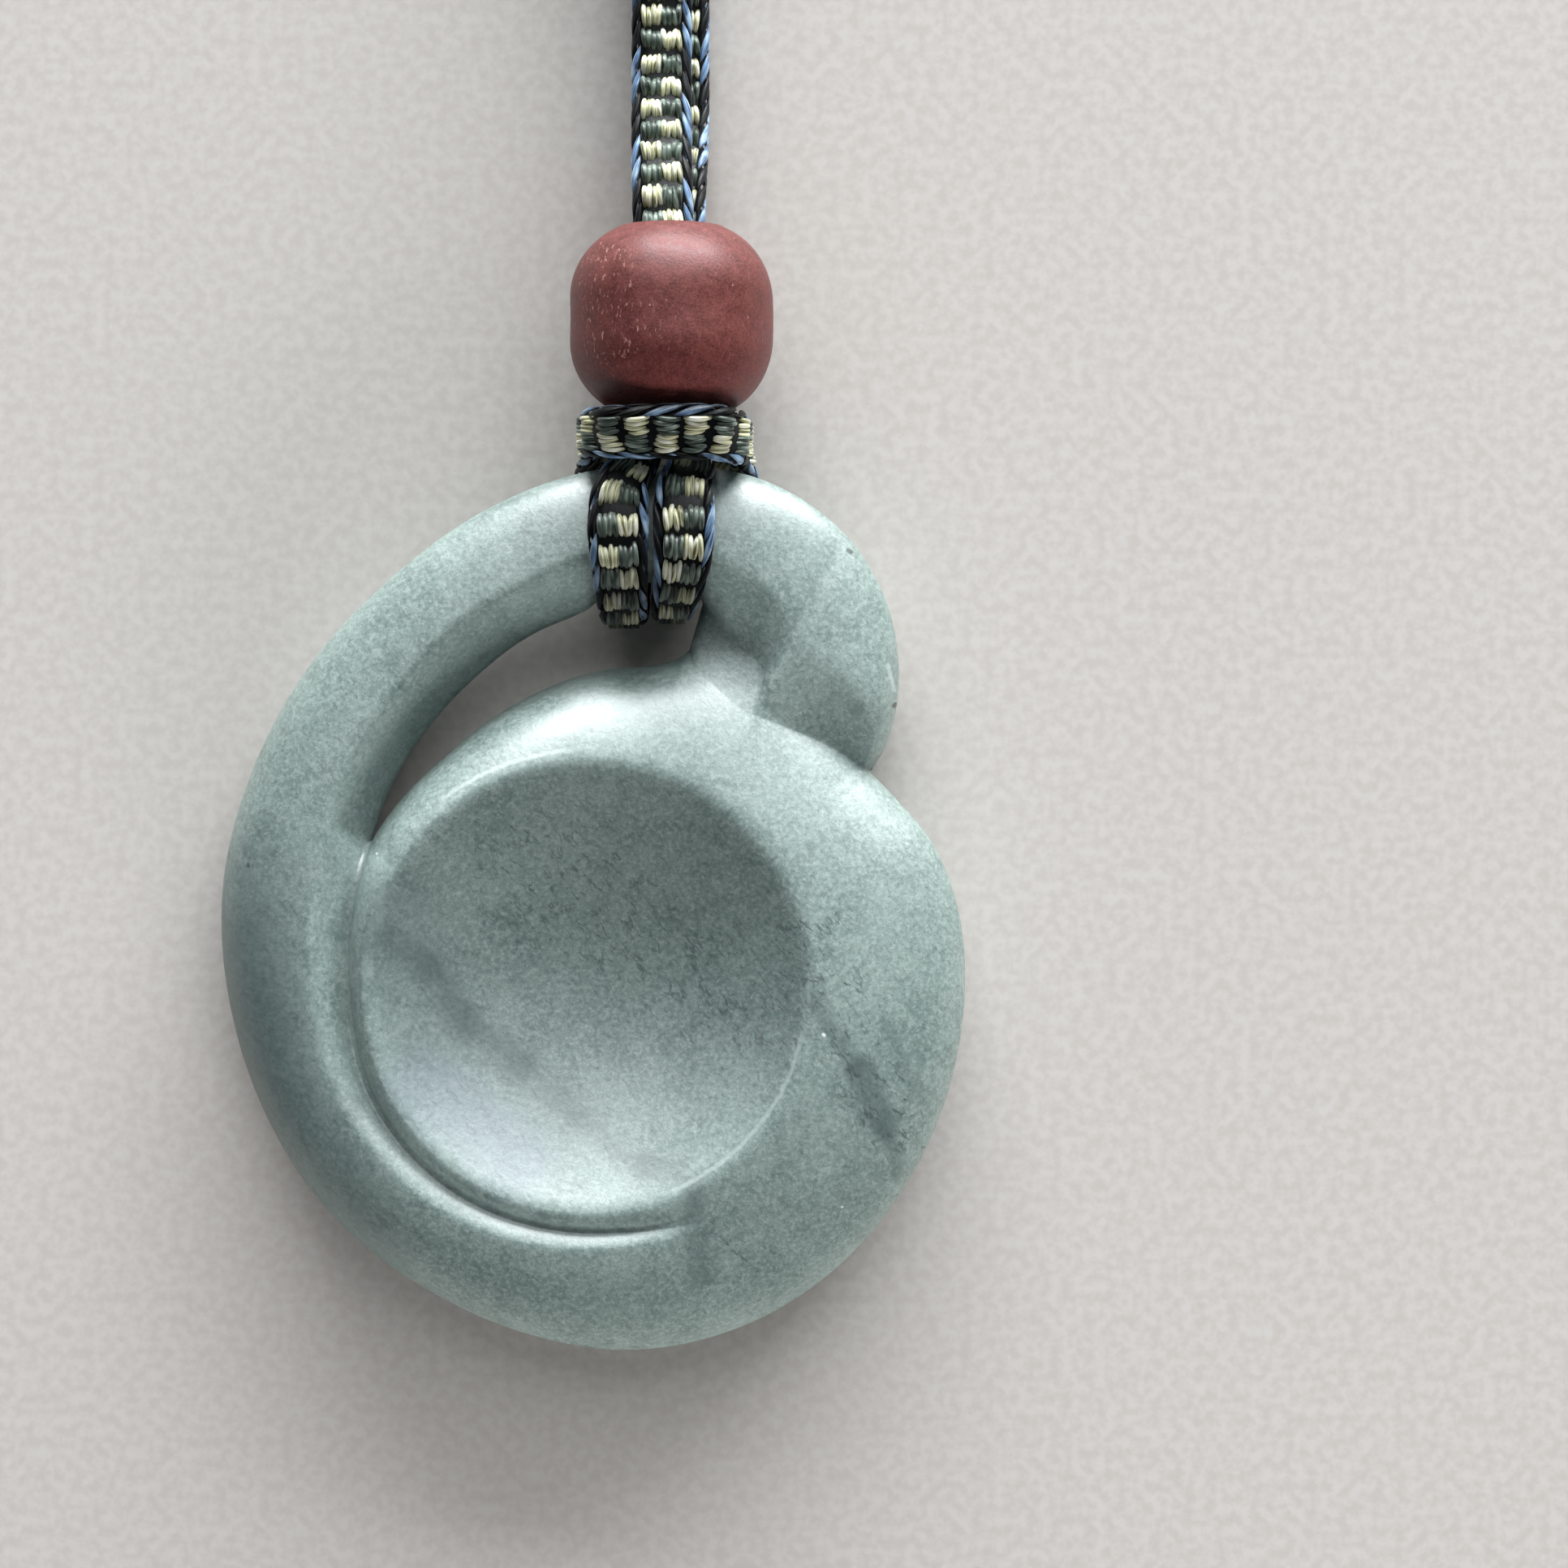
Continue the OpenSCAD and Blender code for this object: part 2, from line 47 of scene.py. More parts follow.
def add_camera():
    data = bpy.data.cameras.new("camera")
    data.lens = CAMERA_LENS
    data.sensor_width = 36
    data.clip_start = 0.01
    data.clip_end = 10
    camera = bpy.data.objects.new("camera", data)
    camera.location = CAMERA_AT
    bpy.context.scene.collection.objects.link(camera)
    bpy.context.scene.camera = camera


def add_area_light(name, at, aim, size, power, color):
    data = bpy.data.lights.new(name, "AREA")
    data.shape = "RECTANGLE"
    data.size = size[0]
    data.size_y = size[1]
    data.energy = power
    data.color = color
    lamp = bpy.data.objects.new(name, data)
    lamp.location = at
    toward = np.array(aim) - np.array(at)
    lamp.rotation_euler = Vector(toward).to_track_quat("-Z", "Y").to_euler()
    bpy.context.scene.collection.objects.link(lamp)
    return lamp


# Shader nodes

class Shader:
    """One material's node tree, with short names for the nodes that the finishes share."""

    def __init__(self, name):
        self.material = bpy.data.materials.new(name)
        self.material.use_nodes = True
        self.nodes = self.material.node_tree.nodes
        self.links = self.material.node_tree.links
        self.surface = self.nodes["Principled BSDF"]

    def put(self, target, value):
        if isinstance(value, bpy.types.NodeSocket):
            self.links.new(value, target)
        else:
            target.default_value = value

    def add(self, kind, inputs=(), **settings):
        node = self.nodes.new(kind)
        for key, value in settings.items():
            setattr(node, key, value)
        for key, value in dict(inputs).items():
            self.put(node.inputs[key], value)
        return node

    def math(self, operation, a, b=0.0, clamp=False):
        node = self.add("ShaderNodeMath", {0: a, 1: b}, operation=operation, use_clamp=clamp)
        return node.outputs[0]

    def vector(self, operation, a, b=(0, 0, 0), scale=None):
        node = self.add("ShaderNodeVectorMath", {0: a, 1: b}, operation=operation)
        if scale is not None:
            self.put(node.inputs["Scale"], scale)
        return node.outputs["Value" if operation in ("LENGTH", "DISTANCE", "DOT_PRODUCT") else 0]

    def place_mm(self):
        place = self.add("ShaderNodeTexCoord").outputs["Object"]
        return self.vector("SCALE", place, scale=1 / MM)

    def noise(self, place, scale, detail=2.0, roughness=0.5):
        node = self.add("ShaderNodeTexNoise", {"Vector": place, "Scale": scale, "Detail": detail,
                                               "Roughness": roughness})
        return node.outputs["Fac"]

    def noise_vector(self, place, scale, amount):
        node = self.add("ShaderNodeTexNoise", {"Vector": place, "Scale": scale, "Detail": 2.0})
        centred = self.vector("SUBTRACT", node.outputs["Color"], (0.5, 0.5, 0.5))
        return self.vector("ADD", place, self.vector("SCALE", centred, scale=amount))

    def cells(self, place, scale):
        """Distance to the nearest of many scattered points, for specks."""
        return self.add("ShaderNodeTexVoronoi", {"Vector": place, "Scale": scale}).outputs["Distance"]

    def step(self, value, low, high, out_low=0.0, out_high=1.0):
        node = self.add("ShaderNodeMapRange", {"Value": value, "From Min": low, "From Max": high,
                                               "To Min": out_low, "To Max": out_high},
                        interpolation_type="SMOOTHSTEP")
        return node.outputs["Result"]

    def mix(self, share, a, b):
        node = self.add("ShaderNodeMix", {"Factor": share}, data_type="RGBA")
        self.put(node.inputs[6], a)
        self.put(node.inputs[7], b)
        return node.outputs[2]

    def stroke(self, place, start, end, half_width, soft):
        """Share of a straight stroke over the top of the object, with soft sides and ends."""
        run = np.array(end, float) - np.array(start, float)
        length = float(np.linalg.norm(run))
        flat = self.vector("MULTIPLY", place, (1, 1, 0))
        from_start = self.vector("SUBTRACT", flat, (start[0], start[1], 0))
        along = self.vector("DOT_PRODUCT", from_start, (run[0] / length, run[1] / length, 0))
        held = self.math("MINIMUM", self.math("MAXIMUM", along, 0.0), length)
        on_line = self.vector("SCALE", (run[0] / length, run[1] / length, 0), scale=held)
        away = self.vector("LENGTH", self.vector("SUBTRACT", from_start, on_line))
        return self.step(away, half_width, half_width + soft, 1.0, 0.0)

    def bump(self, height, distance_mm, strength):
        node = self.add("ShaderNodeBump", {"Height": height, "Distance": distance_mm * MM,
                                           "Strength": strength})
        return node.outputs["Normal"]

    def set(self, **values):
        for key, value in values.items():
            self.put(self.surface.inputs[key.replace("_", " ")], value)


def rgb(r, g, b):
    """Linear colour of an 8-bit screen colour."""
    share = np.array([r, g, b]) / 255
    linear = np.where(share <= 0.04045, share / 12.92, ((share + 0.055) / 1.055) ** 2.4)
    return (float(linear[0]), float(linear[1]), float(linear[2]), 1.0)


# Shares of the jade's full brightness: everywhere, and on the dish's ground besides, where the lower share is
# painted shade
JADE_SHADE = 0.75
DISH_SHADE = 0.84

# How strongly the cracks show away from the zones where they gather
CRACKS_ELSEWHERE = 0.2


def jade_finish():
    """Satin grey-green jade: fine grains, soft clouds, a smoky streak, cracks and a pale patch, with painted
    shade and painted highlight lines.
    """
    s = Shader("jade")
    at = s.place_mm()
    bent = s.noise_vector(at, 0.5, 1.2)
    grains = s.noise(at, 3.4, 4.0, 0.7)
    fine = s.noise(at, 8.5, 3.0, 0.65)
    blotches = s.noise(bent, 0.9, 3.0, 0.6)
    clouds = s.noise(bent, 0.2, 4.0, 0.6)
    color = s.mix(s.step(clouds, 0.36, 0.66), rgb(128, 149, 144), rgb(149, 168, 163))
    color = s.mix(s.step(blotches, 0.35, 0.65, 0.0, 0.35), color, rgb(170, 188, 182))
    color = s.mix(s.step(grains, 0.44, 0.68, 0.0, 0.42), color, rgb(204, 219, 214))
    color = s.mix(s.step(grains, 0.28, 0.46, 0.34, 0.0), color, rgb(76, 93, 89))
    color = s.mix(s.step(fine, 0.36, 0.5, 0.25, 0.0), color, rgb(68, 84, 80))

    # Broad pale and dark zones, the smoky streak across the dish and the dark one on the right. The dark
    # zones on the left flank, the lower left and the dish's left side are painted shade.
    for start, end, half_width, soft, share, tone in [
            ((-9.5, -5.5), (-4.0, -10.0), 0.8, 2.8, 0.5, rgb(136, 149, 162)),
            # Painted shade: the next three dark zones, on the left flank, the lower left and the dish's left
            # side
            ((-20.0, 6.0), (-20.0, -6.0), 0.5, 5.0, 0.4, rgb(88, 109, 108)),
            ((-20.5, 2.0), (-13.0, -16.0), 0.5, 4.5, 0.5, rgb(88, 109, 108)),
            ((-11.0, 4.0), (-9.5, -2.0), 0.8, 3.5, 0.35, rgb(96, 116, 114)),
            ((-11.8, 2.8), (-9.4, 1.4), 0.1, 1.6, 0.42, rgb(86, 106, 106)),
            ((-9.2, 1.1), (-7.3, -2.0), 0.1, 1.5, 0.5, rgb(82, 102, 102)),
            ((-7.1, -2.1), (-4.2, -4.5), 0.15, 1.6, 0.5, rgb(82, 102, 102)),
            ((-4.1, -4.6), (-0.8, -7.6), 0.1, 1.6, 0.42, rgb(84, 104, 104)),
            ((-0.7, -7.7), (3.2, -10.6), 0.1, 1.2, 0.3, rgb(86, 106, 106)),
            ((13.4, -0.9), (15.5, -4.6), 0.1, 0.8, 0.45, rgb(80, 101, 99)),
            ((15.6, -4.8), (17.3, -8.2), 0.3, 1.0, 0.6, rgb(78, 99, 98)),
            ((17.3, -8.2), (18.2, -11.2), 0.05, 0.7, 0.4, rgb(80, 101, 99)),
            ((17.4, -2.4), (19.6, -6.6), 0.05, 0.7, 0.3, rgb(80, 101, 99)),
            ((6.2, -11.9), (6.6, -16.6), 0.3, 1.0, 0.42, rgb(80, 100, 97)),
            ((3.4, -10.2), (5.2, -10.6), 0.3, 0.9, 0.45, rgb(84, 104, 100))]:
        zone = s.stroke(bent, start, end, half_width, soft)
        color = s.mix(s.math("MULTIPLY", zone, share), color, tone)

    # Cracks are thin slanting lines where a stretched noise crosses its middle
    wavy = s.noise_vector(at, 1.6, 0.5)
    down = s.vector("DOT_PRODUCT", wavy, (0.62, -0.78, 0))
    over = s.vector("DOT_PRODUCT", wavy, (0.78, 0.62, 0))
    drawn = s.add("ShaderNodeCombineXYZ", {0: s.math("MULTIPLY", down, 0.3), 1: over}).outputs[0]
    line = s.math("ABSOLUTE", s.math("SUBTRACT", s.noise(drawn, 1.1, 3.0, 0.6), 0.5))
    broken = s.step(s.noise(at, 1.1, 2.0), 0.4, 0.6)
    cracks = s.math("MULTIPLY", s.step(line, 0.002, 0.042, 1.0, 0.0), broken)
    zone = CRACKS_ELSEWHERE
    for start, end, half_width, soft, share in [
            ((13.0, 3.6), (18.3, -9.4), 0.8, 2.6, 0.62),
            ((7.4, -14.3), (10.2, -15.8), 0.2, 1.2, 0.6),
            ((-3.0, 7.0), (9.0, -1.0), 1.0, 7.0, 0.5)]:
        gathered = s.math("MULTIPLY", s.stroke(at, start, end, half_width, soft), share)
        zone = s.math("MAXIMUM", zone, gathered)
    cracks = s.math("MULTIPLY", cracks, zone)
    color = s.mix(cracks, color, rgb(56, 71, 70))

    # Painted highlights: pale lines along the dish's edge at the lower right and the upper left
    out = s.vector("LENGTH", s.vector("MULTIPLY", at, (1, 1, 0)))
    for start, end, rim_r, share in [
            ((6.5, -11.0), (11.9, -4.8), 12.9, 0.42),
            ((-6.6, 12.0), (-3.0, 13.5), 13.9, 0.5)]:
        near = s.stroke(at, start, end, 1.2, 1.6)
        wavering = s.math("ADD", out, s.math("MULTIPLY", blotches, 0.3))
        off = s.math("ABSOLUTE", s.math("SUBTRACT", wavering, rim_r))
        wear_and_rim_highlight = s.math("MULTIPLY", s.step(off, 0.03, 0.2, share, 0.0), near)
        color = s.mix(wear_and_rim_highlight, color, rgb(214, 226, 222))

    # Pale specks, three bright ones, three dark nicks and a painted highlight line along the lobe's side
    color = s.mix(s.step(s.cells(at, 1.1), 0.0, 0.06, 0.5, 0.0), color, rgb(222, 232, 228))
    for start, end, half_width, soft, share, tone in [
            ((13.7, -2.7), (13.75, -2.75), 0.07, 0.05, 0.9, rgb(250, 252, 250)),
            ((14.8, -12.9), (14.83, -12.9), 0.05, 0.04, 0.8, rgb(240, 246, 242)),
            ((-12.3, 7.75), (-12.32, 7.75), 0.05, 0.05, 0.8, rgb(240, 246, 242)),
            ((17.9, 16.4), (18.0, 16.5), 0.08, 0.1, 0.85, rgb(46, 54, 52)),
            ((15.2, 25.5), (15.35, 25.4), 0.08, 0.1, 0.85, rgb(46, 54, 52)),
            ((-19.9, 7.1), (-19.9, 7.0), 0.06, 0.1, 0.7, rgb(52, 62, 60)),
            # Painted highlight along the bevel on the lobe's side
            ((17.5, 18.8), (17.9, 17.3), 0.03, 0.16, 0.45, rgb(220, 232, 228))]:
        zone = s.stroke(at, start, end, half_width, soft)
        color = s.mix(s.math("MULTIPLY", zone, share), color, tone)
    rough = s.step(grains, 0.3, 0.7, 0.38, 0.52)
    height = s.math("ADD", s.math("MULTIPLY", grains, 0.7), s.math("MULTIPLY", fine, 0.3))
    height = s.math("ADD", height, s.math("MULTIPLY", blotches, 1.4))
    height = s.math("SUBTRACT", height, s.math("MULTIPLY", cracks, 0.6))
    normal = s.bump(height, 0.05, 0.35)
    # Painted shade: the dish's ground is darkened to DISH_SHADE of the colour
    dish_painted_shade = s.step(out, 12.0, 13.4, DISH_SHADE, 1.0)
    color = s.vector("SCALE", color, scale=s.math("MULTIPLY", dish_painted_shade, JADE_SHADE))
    s.set(Base_Color=color, Roughness=rough, Normal=normal)
    s.set(Specular_IOR_Level=1.0, IOR=1.66, Subsurface_Weight=0.3, Subsurface_Scale=0.0015)
    s.surface.inputs["Subsurface Radius"].default_value = (0.7, 1.0, 0.9)
    return s.material


def bead_finish():
    """Dull brick red, rubbed pale in fine scratches and specks."""
    s = Shader("bead_stone")
    at = s.place_mm()
    mottle = s.noise(at, 1.3, 4.0, 0.6)
    fine = s.noise(at, 7.0, 2.0, 0.6)
    color = s.mix(s.step(mottle, 0.35, 0.68), rgb(80, 38, 36), rgb(100, 50, 47))
    color = s.mix(s.step(fine, 0.4, 0.6, 0.0, 0.3), color, rgb(134, 76, 71))
    stretched = s.vector("MULTIPLY", s.noise_vector(at, 0.8, 0.6), (1.0, 0.3, 1.0))
    wear_and_rim_highlight = s.step(s.noise(stretched, 6.0, 3.0, 0.6), 0.58, 0.7)
    zone = s.math("ADD", s.stroke(at, (1.0, 41.5), (1.6, 37.5), 0.8, 1.6),
                  s.math("MULTIPLY", s.stroke(at, (2.6, 37.6), (4.2, 38.2), 0.2, 1.8), 0.5), clamp=True)
    scratches = s.math("MULTIPLY", wear_and_rim_highlight, s.step(zone, 0.0, 1.0, 0.12, 0.75))
    color = s.mix(scratches, color, rgb(196, 140, 132))
    specks = s.step(s.cells(at, 0.9), 0.0, 0.08, 0.55, 0.0)
    color = s.mix(specks, color, rgb(224, 186, 176))
    normal = s.bump(s.math("SUBTRACT", fine, scratches), 0.03, 0.5)
    s.set(Base_Color=color, Roughness=s.step(mottle, 0.3, 0.7, 0.42, 0.54), Normal=normal)
    s.set(Specular_IOR_Level=0.5, IOR=1.55, Specular_Tint=(1.0, 0.74, 0.75, 1.0))
    return s.material


# Painted shade on the hitch, in mm: from low to high Y at its foot, from low to high Z on its bar, and
# from low to high Y at the bar's top edge, with the share of brightness that is left in each
FOOT_Y = (22.6, 26.4)
FOOT_SHADE = 0.22
BAR_Z = (8.7, 9.3)
BAR_SHADE = 0.62
BAR_TOP_Y = (32.8, 33.5)
BAR_TOP_SHADE = 0.25


def silk_finish(name, dark, body, bright, rough, gloss=0.5, sheen=0.2):
    """One dyed silk: fibre streaks with painted shade between them, painted sheen in patches, and a soft
    gloss.

    Its colour carries painted shade on the bar, on the bar's top edge and where the hitch turns down into the
    hole.
    """
    s = Shader(name)
    fibre = s.add("ShaderNodeAttribute", attribute_name="fibre").outputs["Vector"]
    streaks = s.noise(s.vector("MULTIPLY", fibre, (9.0, 0.55, 0.0)), 1.0, 2.0, 0.5)
    patches = s.noise(s.vector("MULTIPLY", fibre, (1.5, 0.9, 0.0)), 1.0, 1.0)
    # Painted shade: the dark tone between the streaks; painted sheen: the bright tone in patches
    color = s.mix(s.step(streaks, 0.36, 0.56), dark, body)
    color = s.mix(s.step(patches, 0.45, 0.7, 0.0, 0.7), color, bright)
    # Painted shade: darker towards each tuft's ends, where they dive under the next row, and on the core
    tucked = s.math("ABSOLUTE", s.add("ShaderNodeSeparateXYZ", {"Vector": fibre}).outputs["Z"])
    color = s.mix(s.step(tucked, 0.45, 1.0, 0.0, 0.75), color, dark)
    # Painted shade by place: darker at the hitch's foot, on its bar and at the bar's top edge
    place = s.add("ShaderNodeSeparateXYZ", {"Vector": s.place_mm()})
    on_bar = s.step(place.outputs["Z"], *BAR_Z)
    at_top = s.math("MULTIPLY", on_bar, s.step(place.outputs["Y"], *BAR_TOP_Y))
    shade = s.math("MULTIPLY", s.step(place.outputs["Y"], *FOOT_Y, FOOT_SHADE, 1.0),
                   s.step(at_top, 0.0, 1.0, 1.0, BAR_TOP_SHADE))
    shade = s.math("MULTIPLY", shade, s.step(on_bar, 0.0, 1.0, 1.0, BAR_SHADE))
    color = s.vector("SCALE", color, scale=shade)
    normal = s.bump(streaks, 0.06, 0.8)
    s.set(Base_Color=color, Roughness=rough, Normal=normal)
    s.set(Specular_IOR_Level=gloss, Sheen_Weight=sheen, Sheen_Roughness=0.4)
    return s.material


def metal_finish():
    """Plain satin metal with fine turning lines."""
    s = Shader("clasp_metal")
    at = s.place_mm()
    lines = s.noise(s.vector("MULTIPLY", at, (14.0, 0.6, 0.6)), 1.0, 2.0)
    wear = s.noise(at, 0.9, 3.0)
    color = s.mix(s.step(wear, 0.35, 0.7), rgb(150, 150, 148), rgb(190, 189, 184))
    rough = s.step(lines, 0.3, 0.7, 0.26, 0.42)
    s.set(Base_Color=color, Roughness=rough, Metallic=1.0, Normal=s.bump(lines, 0.01, 0.4))
    return s.material


def floor_finish():
    s = Shader("floor")
    grain = s.noise(s.place_mm(), 1.5, 3.0)
    color = s.mix(s.step(grain, 0.3, 0.7), rgb(186, 180, 176), rgb(196, 191, 187))
    s.set(Base_Color=color, Roughness=0.9, Specular_IOR_Level=0.2)
    return s.material


# Meshes

def add_mesh(name, points_mm, faces, materials, slots=None, fibre=None):
    mesh = bpy.data.meshes.new(name)
    mesh.from_pydata((np.asarray(points_mm) * MM).tolist(), [], faces)
    for material in materials:
        mesh.materials.append(material)
    if slots is not None:
        mesh.polygons.foreach_set("material_index", np.asarray(slots, np.int32))
    mesh.polygons.foreach_set("use_smooth", np.ones(len(mesh.polygons), bool))
    if fibre is not None:
        layer = mesh.attributes.new("fibre", "FLOAT_VECTOR", "POINT")
        layer.data.foreach_set("vector", np.asarray(fibre, np.float32).ravel())
    mesh.update()
    piece = bpy.data.objects.new(name, mesh)
    bpy.context.scene.collection.objects.link(piece)
    return piece


def unit_rows(v):
    return v / np.maximum(np.linalg.norm(v, axis=1, keepdims=True), 1e-9)


def ease(t):
    t = np.clip(t, 0, 1)
    return t * t * (3 - 2 * t)


# The pendant, from the same tables as part.scad

DISH_R = 13.0
RIM_Z = 8.0
DOME_FALL = 0.3
DISH_DEPTH = 3.6
EDGE_Z = 3.2
BACK_ROUND = 2.6

# Outer edge: angle from +X and radius from the middle of the dish
OUTLINE = np.array([
    [37, 20.7], [38.8, 22.3], [42.2, 24.4], [46, 26.2], [51.5, 28.3], [58, 30.0], [65, 31.0],
    [72, 31.35], [81, 30.9], [91, 30.05], [102, 28.6], [116, 26.65], [131, 25.1], [148, 23.6],
    [164, 22.55], [184, 21.3], [203, 20.65], [222, 20.5], [242, 20.45], [260, 21.0], [275, 21.7],
    [292, 22.1], [308, 22.2], [324, 22.1], [340, 22.05], [357, 22.1], [371.5, 22.15], [382, 21.85],
    [391, 21.1], [397, 20.7]])

# Angle, edge of the disc, inner edge of the band, crest of the band, their three heights, how far the
# band's back is lifted, and how far the full disc would reach. Up to the hole the disc's own dome,
# which runs on under the lobe, gives the height of its edge.
SECTIONS = np.array([
    [37, 20.62, 20.65, 20.67, 3.6, 3.6, 3.6, 0, 20.7],
    [39, 20.4, 20.6, 21.3, 4.1, 4.1, 4.4, 0, 20.65],
    [42, 20.15, 20.4, 22.4, 4.6, 4.6, 5.2, 0, 20.7],
    [46, 19.75, 20, 23.2, 5.1, 5.1, 5.9, 0, 20.8],
    [51, 19.2, 19.5, 23.6, 5.8, 5.8, 6.3, 0.2, 21.1],
    [56, 18.75, 19.2, 23.6, 6.2, 6.2, 6.5, 0.8, 21.6],
    [59, 18.55, 19.2, 23.6, 6.4, 6.4, 6.6, 1.3, 22],
    [60, 18.5, 20.2, 23.7, 6.5, 6.05, 6.6, 1.45, 22],
    [61, 18.5, 20.9, 24.2, 6.5, 5.75, 6.65, 1.6, 22],
    [63, 18.6, 21.3, 24.9, 6.4, 5.45, 6.75, 1.9, 21.9],
    [66, 18.9, 21.6, 25.5, 6.1, 5.1, 6.9, 2.2, 21.6],
    [69, 19.3, 22.0, 26, 5.7, 4.75, 7.1, 2.25, 21.2],
    [72, 19.8, 22.9, 26.2, 5, 4.5, 7.3, 2.25, 20.75],
    [73.5, 20.5, 23.4, 26.2, 3.2, 4.5, 7.35, 2.25, 20.5],
    [74.5, 20.05, 23.9, 26.2, 3.2, 4.5, 7.4, 2.25, 20.05],
    [77, 19.45, 24.1, 26.1, 3.2, 4.6, 7.4, 2.25, 19.45],
    [81, 18.95, 23.9, 25.9, 3.2, 4.7, 7.4, 2.25, 18.95],
    [86, 18.65, 23.4, 25.4, 3.2, 4.7, 7.4, 2.25, 18.65],
    [91, 18.3, 21.9, 25, 3.2, 4.6, 7.4, 2.25, 18.3],
    [99, 17.6, 20.9, 23.8, 3.2, 4.4, 7.3, 2.1, 17.6],
    [112, 16.6, 19.1, 22.2, 3.2, 4, 7.2, 1.4, 16.6],
    [125, 15.85, 17.6, 20.3, 3.2, 3.6, 7.1, 0.6, 15.85],
    [137, 15.6, 16.4, 18.95, 3.2, 3.3, 7.05, 0.1, 15.6],
    [147, 15.4, 15.5, 17.9, 3.2, 3.2, 7, 0, 15.4],
    [150, 15.1, 15.3, 17.65, 4.6, 4.6, 7, 0, 15.1],
    [155, 14.8, 15, 17.25, 5.3, 5.3, 7, 0, 14.8],
    [165, 14.35, 14.6, 16.6, 5.5, 5.5, 7, 0, 14.35],
    [187, 13.9, 14.15, 16.05, 5.6, 5.6, 7, 0, 13.9],
    [205, 14, 14.25, 15.9, 6.3, 6.3, 7.2, 0, 14],
    [220, 13.95, 14.2, 15.65, 6.85, 6.85, 7.55, 0, 13.95],
    [236, 13.95, 14.2, 15.5, 7.15, 7.15, 7.75, 0, 13.95],
    [253, 13.95, 14.2, 15.3, 7.25, 7.25, 7.8, 0, 13.95],
    [273, 14.05, 14.3, 15.2, 7.3, 7.3, 7.78, 0, 14.05],
    [285, 14.3, 14.55, 15.3, 7.45, 7.45, 7.75, 0, 14.3],
    [297, 14.7, 15.1, 15.6, 7.55, 7.55, 7.7, 0, 14.7],
    [315, 15.4, 16, 16.8, 7.6, 7.6, 7.8, 0, 15.4],
    [345, 16, 16.8, 18, 7.6, 7.6, 7.8, 0, 16],
    [370, 16.8, 17.6, 18.8, 7.4, 7.4, 7.6, 0, 16.8],
    [385, 18.2, 18.8, 19.6, 6.8, 6.8, 7, 0, 18.2],
    [393, 19.8, 20, 20.2, 5, 5, 5.2, 0, 19.8],
    [397, 20.62, 20.65, 20.67, 3.6, 3.6, 3.6, 0, 20.7]])

HOLE_FROM = 73.5
HOLE_TO = 147
CREASE_FROM = 37
CREASE_FULL = 38.6
GROOVE_FADES = 284
GROOVE_ENDS = 300

# Up to this angle the disc's full reach counts, and past it the disc's own edge
REACH_TO = 75

# Rounding along the hole's lower edges, and how far the front's creases and the dish's rim are softened
HOLE_ROUND = 1.3
SOFT_CREASE = 0.16
SOFT_RIM = 0.4


def slopes(table, column, limited):
    each = np.diff(table[:, column]) / np.diff(table[:, 0])
    before = np.concatenate([each[:1], each])
    after = np.concatenate([each, each[-1:]])
    if not limited:
        return (before + after) / 2
    total = before + after
    safe = np.where(total == 0, 1, total)
    return np.where(before * after > 0, 2 * before * after / safe, 0)


def column_at(table, angles, column, limited=True):
    """Smooth value of a table's column at each angle, as in part.scad."""
    k = np.clip(np.searchsorted(table[:, 0], angles, side="right") - 1, 0, len(table) - 2)
    span = table[k + 1, 0] - table[k, 0]
    t = (angles - table[k, 0]) / span
    slope = slopes(table, column, limited)
    if limited:
        slope[0] = (table[1, column] - table[0, column]) / (table[1, 0] - table[0, 0])
        slope[-1] = (table[-1, column] - table[-2, column]) / (table[-1, 0] - table[-2, 0])
    a = slope[k] * span
    b = slope[k + 1] * span
    y0 = table[k, column]
    rise = table[k + 1, column] - y0
    return y0 + t * (a + t * (3 * rise - 2 * a - b + t * (a + b - 2 * rise)))


def disc_reach(angles):
    """How far the disc's dome would reach on each ray."""
    angles = np.clip(angles, SECTIONS[0, 0], SECTIONS[-1, 0])
    reach = np.where(angles < REACH_TO, column_at(SECTIONS, angles, 8), column_at(SECTIONS, angles, 1))
    return reach[:, None]


class Rays:
    """The carving's values on each ray, as columns of one array."""

    def __init__(self, angles):
        self.angle = angles[:, None]
        values = [column_at(SECTIONS, angles, c)[:, None] for c in range(1, 8)]
        self.disc, self.band, self.crest, self.disc_z, self.band_z, self.crest_z, self.lift = values

        # Beside the hole's right end the reach is evened out over a few degrees, for a soft shoulder
        self.reach = disc_reach(angles)
        even = sum(disc_reach(angles + turn) for turn in range(-6, 7)) / 13
        share = ease((self.angle - 62) / 5) * ease((94 - self.angle) / 10)
        self.even = self.reach + (even - self.reach) * share
        self.foot_z = np.where(self.angle < REACH_TO, EDGE_Z, self.disc_z)
        self.disc_z = disc_front(self.disc, self)
        self.outer = column_at(OUTLINE, angles, 1, limited=False)[:, None]
        self.outer_z = EDGE_Z + 0.7 * self.lift


def dome_share(t):
    return (1 - DOME_FALL * t) * np.sqrt(np.maximum(0, 1 - t ** 2.4))


def dome(r, reach, foot_z):
    return foot_z + (RIM_Z - foot_z) * dome_share(np.clip((r - DISH_R) / (reach - DISH_R), 0, 1))


def disc_front(r, s):
    near_edge = np.clip((r - DISH_R) / (s.reach - DISH_R), 0, 1) ** 4
    return dome(r, s.even + (s.reach - s.even) * near_edge, s.foot_z)


